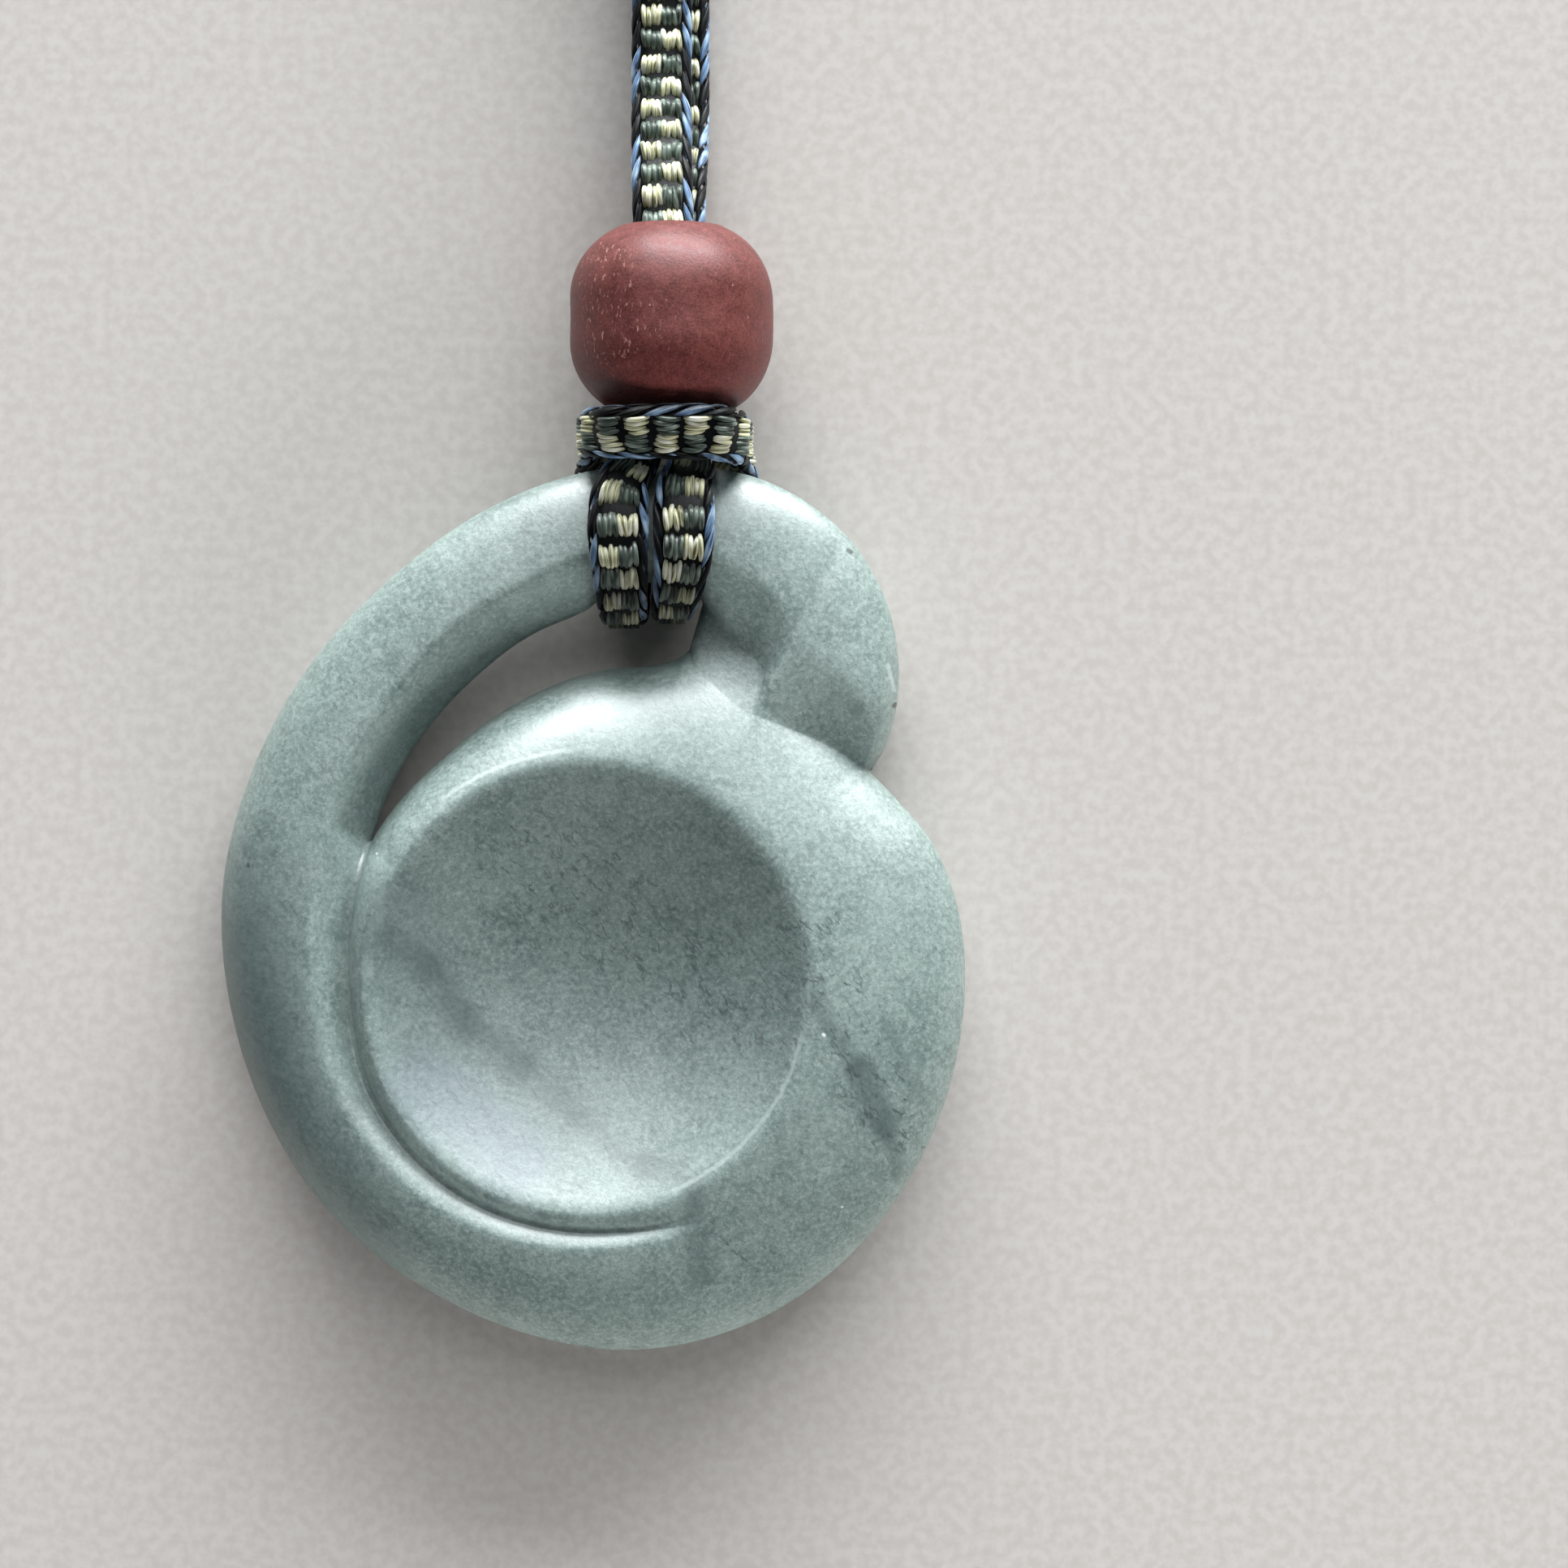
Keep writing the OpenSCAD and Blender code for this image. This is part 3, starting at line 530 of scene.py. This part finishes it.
def band_front(r, s):
    u = np.clip((r - s.band) / (s.crest - s.band), 0, 1)
    t = np.clip((r - s.crest) / (s.outer - s.crest), 0, 1)
    roundness = 1.2 + 0.8 * ease((s.angle - 65) / 8) - 0.8 * ease((s.angle - 80) / 12)
    roundness = roundness + 0.5 * ease((s.angle - 150) / 40)
    bevel = s.band_z + (s.crest_z - s.band_z) * (1 - (1 - u) ** roundness)
    slope = s.outer_z + (s.crest_z - s.outer_z) * (1 - 0.2 * t) * np.sqrt(np.maximum(0, 1 - t ** 2.6))
    return np.where(r <= s.crest, bevel, slope)


def front_z(r, s):
    disc = disc_front(r, s)
    floor = s.disc_z + (s.band_z - s.disc_z) * (r - s.disc) / (s.band - s.disc)
    carved = np.where(r <= s.disc, disc, np.where(r <= s.band, floor, band_front(r, s)))
    plain = dome(r, np.where(s.angle < CREASE_FULL, OUTLINE[0, 1], s.outer), s.outer_z)
    share = np.maximum(ease((s.angle - GROOVE_FADES) / (GROOVE_ENDS - GROOVE_FADES)),
                       1 - ease((s.angle - CREASE_FROM) / (CREASE_FULL - CREASE_FROM)))
    dish = RIM_Z - DISH_DEPTH * (1 - (r / DISH_R) ** 2)
    return np.where(r <= DISH_R, dish, carved + (plain - carved) * share)


def smooth_front_z(r, s, width):
    """Mean height over a short stretch of the ray, which softens the carving's creases."""
    offsets = np.array([-1.0, -0.6, -0.2, 0.2, 0.6, 1.0])
    weights = np.array([0.08, 0.18, 0.24, 0.24, 0.18, 0.08])
    return sum(w * front_z(r + o * width, s) for o, w in zip(offsets, weights))


def quarter_round(distance, reach, height):
    e = np.clip(distance / reach, 0, 1)
    return height * (1 - np.sqrt(1 - (1 - e) ** 2))


def back_z(r, s):
    hole = ease((s.angle - HOLE_FROM + 5) / 5) * ease((HOLE_TO + 6 - s.angle) / 6)
    base = s.lift * ease((r - s.disc) / np.maximum(0.5, s.band - s.disc))
    gap = np.clip((r - s.disc) / (s.band - s.disc), 0, 1)
    lip_z = EDGE_Z + 0.57 * s.lift * gap
    away = np.where(r < s.disc, s.disc - r, np.where(r > s.band, r - s.band, 0))
    return base + np.maximum(quarter_round(s.outer - r, BACK_ROUND, s.outer_z - base),
                             quarter_round(away, HOLE_ROUND, hole * (lip_z - base)))


def spread(a, b, shares):
    return a + (b - a) * shares[None, :]


def pendant_angles():
    ranges = [(37, 42, 0.4), (42, 57, 0.8), (57, 80, 0.4), (80, 140, 1.0), (140, 152, 0.5), (152, 385, 1.0),
              (385, 397, 0.6)]
    angles = np.concatenate([np.arange(a, b, step) for a, b, step in ranges])
    keep = np.abs(angles - HOLE_FROM) > 0.21
    keep &= np.abs(angles - HOLE_TO) > 0.26
    return np.sort(np.concatenate([angles[keep], [HOLE_FROM, HOLE_TO]]))


def build_pendant(material):
    angles = pendant_angles()
    s = Rays(angles)
    n = len(angles)
    one = np.ones((n, 1))
    quarter = np.sin(np.radians(np.linspace(0, 90, 27)[1:]))
    shoulder = np.sin(np.radians(np.linspace(0, 90, 21)[1:]))
    dish = spread(0 * one, DISH_R * one, np.linspace(0, 1, 33)[1:] ** 0.85)
    front_r = np.concatenate([
        dish, spread(DISH_R * one, s.disc, shoulder), s.band,
        spread(s.band, s.crest, np.linspace(0, 1, 13)[1:]), spread(s.crest, s.outer, quarter)], axis=1)
    back_quarter = np.sin(np.radians(np.linspace(0, 90, 17)[1:]))
    back_r = np.concatenate([
        spread(0 * one, s.disc, back_quarter), s.band,
        spread(s.band, s.outer, (1 - np.cos(np.radians(np.linspace(0, 180, 21)[1:-1]))) / 2)], axis=1)
    in_hole = (angles >= HOLE_FROM - 0.01) & (angles <= HOLE_TO + 0.01)
    disc_at = dish.shape[1] + len(shoulder) - 1
    band_at = disc_at + 1

    # Softening narrows to nothing at the outer edge and at the hole's edges
    width = SOFT_CREASE + SOFT_RIM * np.exp(-((front_r - DISH_R + 0.1) / 0.8) ** 2)
    width = np.minimum(width, 0.5 * (s.outer - front_r))
    near_hole = np.minimum(np.abs(front_r - s.disc), np.abs(front_r - s.band))
    hole_like = ease((s.angle - HOLE_FROM + 3) / 3) * ease((HOLE_TO + 4 - s.angle) / 4)
    width = np.maximum(1e-4, np.minimum(width, 0.3 * near_hole + 1 - hole_like))
    z_front = smooth_front_z(front_r, s, width)
    z_back = back_z(back_r, s)

    front_n = front_r.shape[1]
    back_n = back_r.shape[1]
    turn = np.radians(s.angle)
    front = np.stack([front_r * np.cos(turn), front_r * np.sin(turn), z_front], -1).reshape(-1, 3)
    back = np.stack([back_r * np.cos(turn), back_r * np.sin(turn), z_back], -1).reshape(-1, 3)
    middle = np.array([[0, 0, z_front[:, 0].mean() - 0.001], [0, 0, 0]])
    points = np.concatenate([middle, front, back])

    front_id = 2 + np.arange(n * front_n).reshape(n, front_n)
    back_id = 2 + n * front_n + np.arange(n * back_n).reshape(n, back_n)
    back_id = np.concatenate([back_id, front_id[:, -1:]], axis=1)
    back_disc = len(back_quarter) - 1
    back_id[in_hole, back_disc] = front_id[in_hole, disc_at]
    back_id[in_hole, back_disc + 1] = front_id[in_hole, band_at]
    following = (np.arange(n) + 1) % n
    open_gap = in_hole & in_hole[following]

    faces = []
    for ids, gap_at, first, turned in ((front_id, disc_at, 0, False), (back_id, back_disc, 1, True)):
        after = ids[following]
        quads = np.stack([ids[:, :-1], ids[:, 1:], after[:, 1:], after[:, :-1]], -1)
        keep = np.ones(quads.shape[:2], bool)
        keep[open_gap, gap_at] = False
        flat = quads[keep]
        fans = np.stack([np.full(n, first), ids[:, 0], after[:, 0]], -1)
        faces += (flat[:, ::-1] if turned else flat).tolist()
        faces += (fans[:, ::-1] if turned else fans).tolist()
    return add_mesh("pendant_body", points, faces, [material])


# The bead, with its hole along Y

BEAD_AT = np.array([4.85, 38.85, 6.0])
BEAD_R = 5.95
BEAD_ARC = 4.6
BEAD_SIDE = 1.15
BEAD_HOLE_R = 2.85
BEAD_LIP = 0.25
BEAD_WEAR = 0.03


def build_bead(material):
    shoulder = BEAD_R - BEAD_ARC
    hole_turn = np.arccos((BEAD_HOLE_R + BEAD_LIP - shoulder) / BEAD_ARC)
    upper = np.linspace(0, hole_turn, 30)
    outside = [(shoulder + BEAD_ARC * np.cos(a), BEAD_SIDE + BEAD_ARC * np.sin(a)) for a in upper]
    end_y = outside[-1][1]
    lip = [(BEAD_HOLE_R + BEAD_LIP * (1 - np.sin(a)), end_y - 0.22 * (1 - np.cos(a)))
           for a in np.linspace(0, np.pi / 2, 6)[1:]]
    half = np.array(outside + lip)
    side = np.array([[BEAD_R, y] for y in np.linspace(-BEAD_SIDE, BEAD_SIDE, 8)[1:-1]])
    bore = np.array([[BEAD_HOLE_R, y] for y in np.linspace(half[-1, 1], -half[-1, 1], 12)[1:-1]])
    low = half[::-1] * [1, -1]
    ring = np.concatenate([low, side, half, bore])
    turns = np.linspace(0, 2 * np.pi, 161)[:-1]
    r = ring[None, :, 0] * np.ones((len(turns), 1))
    y = ring[None, :, 1] * np.ones((len(turns), 1))
    worn = 0.018 * np.sin(3 * turns[:, None] + 0.9 * y) + 0.012 * np.sin(7 * turns[:, None] - 1.3 * y)
    r = r - (BEAD_WEAR + worn) * (r > BEAD_HOLE_R + 0.3)
    points = np.stack([BEAD_AT[0] + r * np.sin(turns[:, None]), BEAD_AT[1] + y,
                       BEAD_AT[2] + r * np.cos(turns[:, None])], -1)
    return add_mesh("bead_body", points.reshape(-1, 3), grid_faces(*r.shape), [material])


def grid_faces(rows, sides):
    """Quads of a closed ring of closed rings, facing out."""
    ids = np.arange(rows * sides).reshape(rows, sides)
    after = np.roll(ids, -1, axis=0)
    quads = np.stack([ids, after, np.roll(after, -1, axis=1), np.roll(ids, -1, axis=1)], -1)
    return quads.reshape(-1, 4).tolist()


# The braid's routes, as in part.scad: place, which way the face looks, width and thickness

HITCH = [
    [4.0, 33.7, 7.0, 0, 0, 1, 2.9, 1.8], [3.9, 33.15, 7.0, 0, 0, 1, 2.8, 1.8],
    [3.5, 32.4, 7.0, 0, 0, 1, 2.8, 1.8], [3.15, 31.7, 7.0, 0, 0, 1, 2.8, 1.8],
    [3.0, 31.0, 7.05, 0, 0, 1, 2.8, 1.8], [2.7, 30.2, 7.3, 0, 0, 1, 2.8, 1.8],
    [2.15, 29.3, 7.85, 0, 0, 1, 3.2, 1.9], [1.9, 28.1, 8.35, 0, 0, 1, 3.6, 2.0],
    [1.85, 26.4, 8.6, 0, 0, 1, 3.7, 2.0], [1.9, 24.9, 8.4, 0, -0.2, 1, 3.5, 2.0],
    [1.95, 23.4, 7.6, 0, -0.6, 0.8, 3.3, 1.9], [2.0, 22.2, 6.2, 0, -0.9, 0.4, 3.0, 1.8],
    [2.0, 21.75, 4.5, 0, -1, 0, 2.9, 1.8], [2.0, 22.1, 2.7, 0, -0.8, -0.6, 3.0, 1.8],
    [1.9, 23.5, 1.3, 0, -0.2, -1, 3.3, 1.9], [1.6, 25.6, 1.12, 0, 0, -1, 3.6, 1.9],
    [1.1, 27.6, 1.15, 0, 0, -1, 3.6, 1.9], [0.6, 29.5, 1.3, -0.15, 0, -1, 3.4, 1.8],
    [0.25, 31.3, 2.5, -0.7, 0, -0.7, 3.1, 1.8], [0.15, 32.2, 4.6, -1, 0, 0, 2.9, 1.8],
    [0.15, 32.25, 6.6, -1, 0, 0.1, 2.8, 1.8], [0.55, 32.15, 8.2, -0.8, -0.1, 0.6, 3.0, 1.8],
    [1.8, 32.05, 9.45, -0.3, -0.35, 0.9, 3.2, 1.8], [4.5, 32.05, 9.85, 0, -0.4, 0.9, 3.4, 1.8],
    [7.1, 32.05, 9.4, 0.3, -0.35, 0.9, 3.4, 1.8], [8.4, 31.95, 8.2, 0.8, -0.1, 0.6, 3.3, 1.8],
    [8.75, 31.9, 6.6, 1, 0, 0.1, 3.2, 1.8], [8.8, 31.9, 4.6, 1, 0, 0, 3.2, 1.8],
    [8.7, 31.2, 2.5, 0.7, 0, -0.7, 3.1, 1.8], [8.2, 29.4, 1.3, 0.15, 0, -1, 3.4, 1.8],
    [7.3, 27.6, 1.15, 0, 0, -1, 3.6, 1.9], [6.3, 25.6, 1.12, 0, 0, -1, 3.6, 1.9],
    [5.3, 23.8, 1.3, 0, -0.2, -1, 3.2, 1.9], [4.9, 22.4, 2.7, 0, -0.8, -0.6, 2.6, 1.8],
    [4.85, 22.0, 4.5, 0, -1, 0, 2.5, 1.8], [5.0, 22.4, 6.2, 0, -0.9, 0.4, 2.8, 1.8],
    [5.35, 23.6, 7.6, 0, -0.6, 0.8, 3.2, 1.9], [5.6, 25.0, 8.45, 0, -0.2, 1, 3.5, 2.0],
    [5.65, 26.4, 8.65, 0, 0, 1, 3.7, 2.0], [5.65, 28.0, 8.4, 0, 0, 1, 3.7, 2.0],
    [5.75, 29.3, 7.85, 0, 0, 1, 3.3, 1.9], [6.0, 30.2, 7.1, 0, 0, 1, 3.0, 1.8],
    [6.1, 31.0, 6.2, 0, 0, 1, 2.8, 1.8], [6.0, 31.7, 5.35, 0, 0, 1, 2.8, 1.8],
    [5.7, 32.4, 4.95, 0, 0, 1, 2.8, 1.8], [5.25, 33.15, 4.9, 0, 0, 1, 2.8, 1.8],
    [5.15, 33.7, 4.9, 0, 0, 1, 2.9, 1.8]]
NECK_RIGHT = [
    [5.0, 34.1, 4.9], [5.0, 37, 4.9], [5.0, 40, 4.9], [5.0, 43.2, 4.9], [5.05, 46, 4.3],
    [5.15, 49, 2.7], [5.2, 52, 1.5], [5.2, 56, 1.1], [5.3, 63, 1.1], [6.2, 71, 1.1], [10, 84, 1.1],
    [19, 103, 1.1], [33, 124, 1.1], [50, 146, 1.1], [65, 170, 1.1], [75, 198, 1.1], [77, 228, 1.1],
    [66, 256, 1.1], [44, 275, 1.1], [24, 282.5, 1.3], [15, 284, 2.4], [10.5, 284, 3.0], [7.5, 284, 3.0]]
NECK_LEFT = [
    [4.5, 34.1, 7.0], [4.5, 37, 7.0], [4.5, 40, 7.0], [4.45, 43.2, 7.0], [4.35, 46, 6.65],
    [4.25, 49.5, 5.1], [4.2, 53, 3.75], [4.2, 57, 3.25], [4.1, 63, 3.25], [2.0, 70, 3.15],
    [-2.5, 79, 1.5], [-9, 92, 1.1], [-17, 107, 1.1], [-28, 124, 1.1], [-42, 146, 1.1],
    [-56, 170, 1.1], [-66, 198, 1.1], [-68, 228, 1.1], [-57, 256, 1.1], [-35, 275, 1.1],
    [-15, 282.5, 1.3], [-6, 284, 2.4], [-1.5, 284, 3.0], [1.5, 284, 3.0]]
BRAID_W = 3.7
BRAID_T = 2.0
CORE_HALF_W = 1.42
CORE_HALF_T = 0.56
CORE_SIDES = 16
ROUTE_STEPS = 16


def smooth_route(rows):
    rows = np.array(rows, float)
    n = len(rows)
    path = []
    for k in range(n - 1):
        a = rows[max(0, k - 1)]
        b = rows[k]
        c = rows[k + 1]
        d = rows[min(n - 1, k + 2)]
        for t in np.arange(ROUTE_STEPS) / ROUTE_STEPS:
            path.append(b + t / 2 * ((c - a) + t * (2 * a - 5 * b + 4 * c - d + t * (3 * (b - c) + d - a))))
    path.append(rows[-1])
    return np.array(path)


class Route:
    """A braid's smooth route, which places points given along, across and out of it."""

    def __init__(self, rows):
        path = smooth_route(rows)
        place = path[:, :3]
        heading = unit_rows(np.gradient(place, axis=0))
        across = unit_rows(np.cross(path[:, 3:6], heading))
        face = np.cross(heading, across)
        steps = np.linalg.norm(np.diff(place, axis=0), axis=1)
        self.s = np.concatenate([[0], np.cumsum(steps)])
        self.length = self.s[-1]
        self.columns = np.concatenate([place, across, face, path[:, 6:8]], axis=1)

    def put(self, s, u, h):
        """Points at lengths s, u to the side and h out of the face, for a braid of full size."""
        at = np.stack([np.interp(s, self.s, c) for c in self.columns.T], -1)
        across = at[..., 3:6] * (u * at[..., 9] / BRAID_W)[..., None]
        out = at[..., 6:9] * (h * at[..., 10] / BRAID_T)[..., None]
        return at[..., :3] + across + out


def lying(route):
    return [row + [0, 0, 1, BRAID_W, BRAID_T] for row in route]


# Where the rows of the plait fall: their pitch in the hitch and in the neck cord, where row 3 lies along
# the hitch, how slack its front strands are, and for each neck cord one row's number and its length
# from the bead's end
PITCH = 1.605
NECK_PITCH = 1.49
ROW_3_AT = 7.4
FRONT_SLACK = 0.45
LEFT_ROW = (-10, 11.75)
RIGHT_ROW = (55, 13.5)

CREAM = 0
GREEN = 1
BLUE = 2
BLACK = 3


def hitch_row_at(index):
    """Length along the hitch of each row of the plait, slacker on its two front strands."""
    slack = np.exp(-((index - 3.4) / 1.5) ** 2) - np.exp(-((index - 40.6) / 1.5) ** 2)
    return ROW_3_AT + (index - 3) * PITCH + FRONT_SLACK * slack


def tuft_rings(s, u, h, turn, half_w, half_t, ring):
    """Rings of points round each tuft's centre line, and the b of each point across it."""
    b = np.cos(ring)[None, None, :]
    side = half_w[..., None] * b
    out = half_t[..., None] * np.sin(ring)[None, None, :]
    side_u = -np.sin(turn)[..., None]
    side_h = np.cos(turn)[..., None]
    out_u = np.cos(turn)[..., None]
    out_h = np.sin(turn)[..., None]
    points_s = s[..., None] + 0 * b
    points_u = u[..., None] + side * side_u + out * out_u
    points_h = h[..., None] + side * side_h + out * out_h
    return points_s, points_u, points_h, b


def tuft_set(parts):
    """One table of tufts out of several, each with a centre line, a turn, sizes and a colour."""
    keys = ("s", "u", "h", "turn", "half_w", "half_t", "color")
    return {key: np.concatenate([part[i] for part in parts]) for i, key in enumerate(keys)}


def ladder(index, at, rng, stations, filaments):
    """The arched tufts of each row on both faces: half of the filaments cream, half green."""
    t = np.linspace(-1, 1, stations)[None, :]
    count = len(index)
    flat = np.zeros((count, 1))
    profile = np.maximum(0.02, 1 - np.abs(t) ** 2.2) ** 0.75 + flat
    split = filaments // 4
    parts = []
    for face in (1, -1):
        for j in range(filaments):
            shift = rng.uniform(-0.12, 0.12, (count, 1))
            half_length = 0.84 + rng.uniform(-0.10, 0.06, (count, 1))
            slant = rng.uniform(-0.12, 0.12, (count, 1))
            middle = (j // split - 1.5) * 0.58 + (j % split - 0.5 * (split - 1)) * 0.57 / split
            cream = (np.mod(index, 2) == 0) == (j < filaments // 2)
            parts.append((at[:, None] + shift + half_length * t, middle + slant * t,
                          face * (0.22 + 0.52 * (1 - t ** 2)) + flat, flat + face * np.pi / 2 + 0 * t,
                          0.36 / split * profile ** 0.8, 0.21 * profile, np.where(cream, CREAM, GREEN)))
    return tuft_set(parts)


def edges(index, at, rng, stations):
    """The slender leaves that run out over each edge, then in under it on the back."""
    t = np.linspace(0, 1, stations)[None, :]
    count = len(index)
    flat = np.zeros((count, 1))
    profile = np.maximum(0.02, np.sin(np.pi * np.clip(t, 0.004, 0.996))) ** 0.9 + flat
    parts = []
    for side, blues in ((1, (1, 2)), (-1, (3, 0))):
        color = np.where(np.isin(np.mod(index, 4), blues), BLUE, BLACK)
        for face, later in ((1, 0.0), (-1, 2.0)):
            start = at[:, None] + 0.4 + later + rng.uniform(-0.08, 0.08, (count, 1))
            wrap = np.radians(80 - 74 * t if face > 0 else -6 - 74 * t) + flat
            parts.append((start + 2.35 * t, side * (1.13 + 0.58 * np.cos(wrap)), 0.62 * np.sin(wrap),
                          wrap if side > 0 else np.pi - wrap, 0.27 * profile, 0.13 * profile ** 0.6, color))
    return tuft_set(parts)


def tuft_mesh(route, tufts, sides, rng, stretch):
    """Points, faces, colours and fibre coordinates of the tufts that start on a stretch of the route."""
    s = tufts["s"]
    keep = (s.min(1) >= stretch[0]) & (s.min(1) < stretch[1]) & (s.max(1) <= route.length)
    tufts = {key: value[keep] for key, value in tufts.items()}
    s = tufts["s"]
    count, stations = s.shape
    ring = np.linspace(0, 2 * np.pi, sides + 1)[:-1]
    ps, pu, ph, b = tuft_rings(s, tufts["u"], tufts["h"], tufts["turn"], tufts["half_w"],
                               tufts["half_t"], ring)
    points = route.put(ps, pu, ph)
    seed = rng.uniform(0, 50, (count, 1, 1))
    across = tufts["half_w"].max(1)[:, None, None] * b
    share = 2 * (s - s.min(1, keepdims=True)) / np.ptp(s, axis=1)[:, None] - 1
    fibre = np.stack([across + seed + 0 * ps, ps, share[..., None] + 0 * ps], -1)
    ids = np.arange(count * stations * sides).reshape(count, stations, sides)
    a = ids[:, :-1]
    c = ids[:, 1:]
    quads = np.stack([a, c, np.roll(c, -1, axis=2), np.roll(a, -1, axis=2)], -1)
    colors = np.broadcast_to(tufts["color"][:, None, None], quads.shape[:3])
    caps = np.concatenate([ids[:, 0], ids[:, -1, ::-1]])
    faces = quads.reshape(-1, 4).tolist() + caps.tolist()
    slots = np.concatenate([colors.ravel(), tufts["color"], tufts["color"]])
    return points.reshape(-1, 3), faces, slots, fibre.reshape(-1, 3)


def core_mesh(route, step, sides, stretch):
    """The dark middle of the braid, a flat tube under the tufts, darkened further as painted shade where it
    shows between the rows.
    """
    n = max(2, int((stretch[1] - stretch[0]) / step))
    s = np.linspace(stretch[0], stretch[1], n)[:, None]
    ring = np.linspace(0, 2 * np.pi, sides + 1)[:-1][None, :]
    u = CORE_HALF_W * np.sign(np.cos(ring)) * np.abs(np.cos(ring)) ** 0.7
    h = CORE_HALF_T * np.sign(np.sin(ring)) * np.abs(np.sin(ring)) ** 0.8
    points = route.put(s + 0 * u, u + 0 * s, h + 0 * s)
    ids = np.arange(n * sides).reshape(n, sides)
    quads = np.stack([ids[:-1], np.roll(ids, -1, axis=1)[:-1], np.roll(ids, -1, axis=1)[1:], ids[1:]], -1)
    faces = quads.reshape(-1, 4).tolist() + [ids[0, ::-1].tolist(), ids[-1].tolist()]
    fibre = np.stack([ring * 0.6 + 0 * s, s + 0 * ring, 1 + 0 * s + 0 * ring], -1)
    return points.reshape(-1, 3), faces, np.full(len(faces), BLACK), fibre.reshape(-1, 3)


def build_braid(name, route, row_at, detail, seed, materials, stretch):
    """A braid along a stretch of a route; row_at gives the length where each row of the plait falls."""
    rng = np.random.default_rng(seed)
    every = np.arange(-400, 400)
    index = every[(row_at(every) > -5) & (row_at(every) < route.length + 5)]
    at = row_at(index)
    stations, sides, filaments, step = detail
    parts = [core_mesh(route, step, CORE_SIDES, stretch),
             tuft_mesh(route, ladder(index, at, rng, stations, filaments), sides, rng, stretch),
             tuft_mesh(route, edges(index, at, rng, stations + 3), sides, rng, stretch)]
    points = []
    faces = []
    start = 0
    for part in parts:
        points.append(part[0])
        faces += [[i + start for i in face] for face in part[1]]
        start += len(part[0])
    slots = np.concatenate([part[2] for part in parts])
    fibre = np.concatenate([part[3] for part in parts])
    return add_mesh(name, np.concatenate(points), faces, materials, slots, fibre)


# Stations along a tuft, points round it, filaments across the braid and step along the core, for what
# the photo shows and for the rest
NEAR = (9, 8, 8, 0.25)
FAR = (6, 6, 4, 1.0)
NEAR_LENGTH = 36


def dress():
    jade = jade_finish()
    pendant = build_pendant(jade)
    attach(pendant, "root")
    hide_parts("jade_pendant")

    bead = build_bead(bead_finish())
    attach(bead, "root")
    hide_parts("bead")

    silks = [silk_finish("silk_cream", rgb(100, 100, 56), rgb(226, 225, 186), rgb(255, 255, 244), 0.36),
             silk_finish("silk_green", rgb(24, 30, 26), rgb(74, 88, 78), rgb(152, 168, 156), 0.34),
             silk_finish("silk_blue", rgb(38, 54, 80), rgb(98, 130, 168), rgb(176, 204, 228), 0.36),
             silk_finish("silk_black", rgb(5, 6, 7), rgb(13, 14, 16), rgb(36, 39, 44), 0.42, 0.25, 0.03)]
    route = Route(HITCH)
    hitch = build_braid("hitch_braid", route, hitch_row_at, NEAR, 1, silks, (0, route.length))
    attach(hitch, "root")
    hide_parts("hitch_cord")

    left = Route(lying(NECK_LEFT)[::-1])
    right = Route(lying(NECK_RIGHT))

    def left_row_at(index):
        return left.length - LEFT_ROW[1] + (index - LEFT_ROW[0]) * NECK_PITCH

    def right_row_at(index):
        return RIGHT_ROW[1] + (index - RIGHT_ROW[0]) * NECK_PITCH

    stretches = (("left_near", "left", left, left_row_at, NEAR, (left.length - NEAR_LENGTH, left.length)),
                 ("left_far", "left", left, left_row_at, FAR, (0, left.length - NEAR_LENGTH)),
                 ("right_near", "right", right, right_row_at, NEAR, (0, NEAR_LENGTH)),
                 ("right_far", "right", right, right_row_at, FAR, (NEAR_LENGTH, right.length)))
    for name, side, route, row_at, detail, stretch in stretches:
        piece = build_braid("neck_braid_" + name, route, row_at, detail, 2, silks, stretch)
        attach(piece, "root")
        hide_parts("neck_cord_" + side)

    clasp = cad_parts["clasp"]
    clasp.data.materials.clear()
    clasp.data.materials.append(metal_finish())


FLOOR_HALF = 0.9


def add_floor():
    half = FLOOR_HALF
    floor = add_mesh("floor", np.array([[-half, -half, 0], [half, -half, 0], [half, half, 0],
                                        [-half, half, 0]]) / MM, [[0, 1, 2, 3]], [floor_finish()])


DAYLIGHT = (0.95, 0.99, 1.0)
DISH_AIM = (0.0, 0.01, 0.0)


def add_lights():
    world = bpy.data.worlds.new("world")
    world.use_nodes = True
    background = world.node_tree.nodes["Background"]
    background.inputs["Color"].default_value = (0.62, 0.68, 0.72, 1)
    background.inputs["Strength"].default_value = 0.11
    bpy.context.scene.world = world
    add_area_light("window", (0.22, 1.29, 0.32), DISH_AIM, (1.7, 0.56), 64.0, DAYLIGHT)
    add_area_light("sky", (0.1, 0.83, 0.80), DISH_AIM, (1.2, 1.0), 8.0, DAYLIGHT)
    room = add_area_light("room", (0.2, -0.6, 0.17), (0.0, 0.0, 0.0), (0.6, 0.2), 4.2, (1.0, 0.99, 0.98))
    room.visible_glossy = False
    bpy.context.scene.view_settings.view_transform = "Standard"


add_camera()
dress()
add_floor()
add_lights()
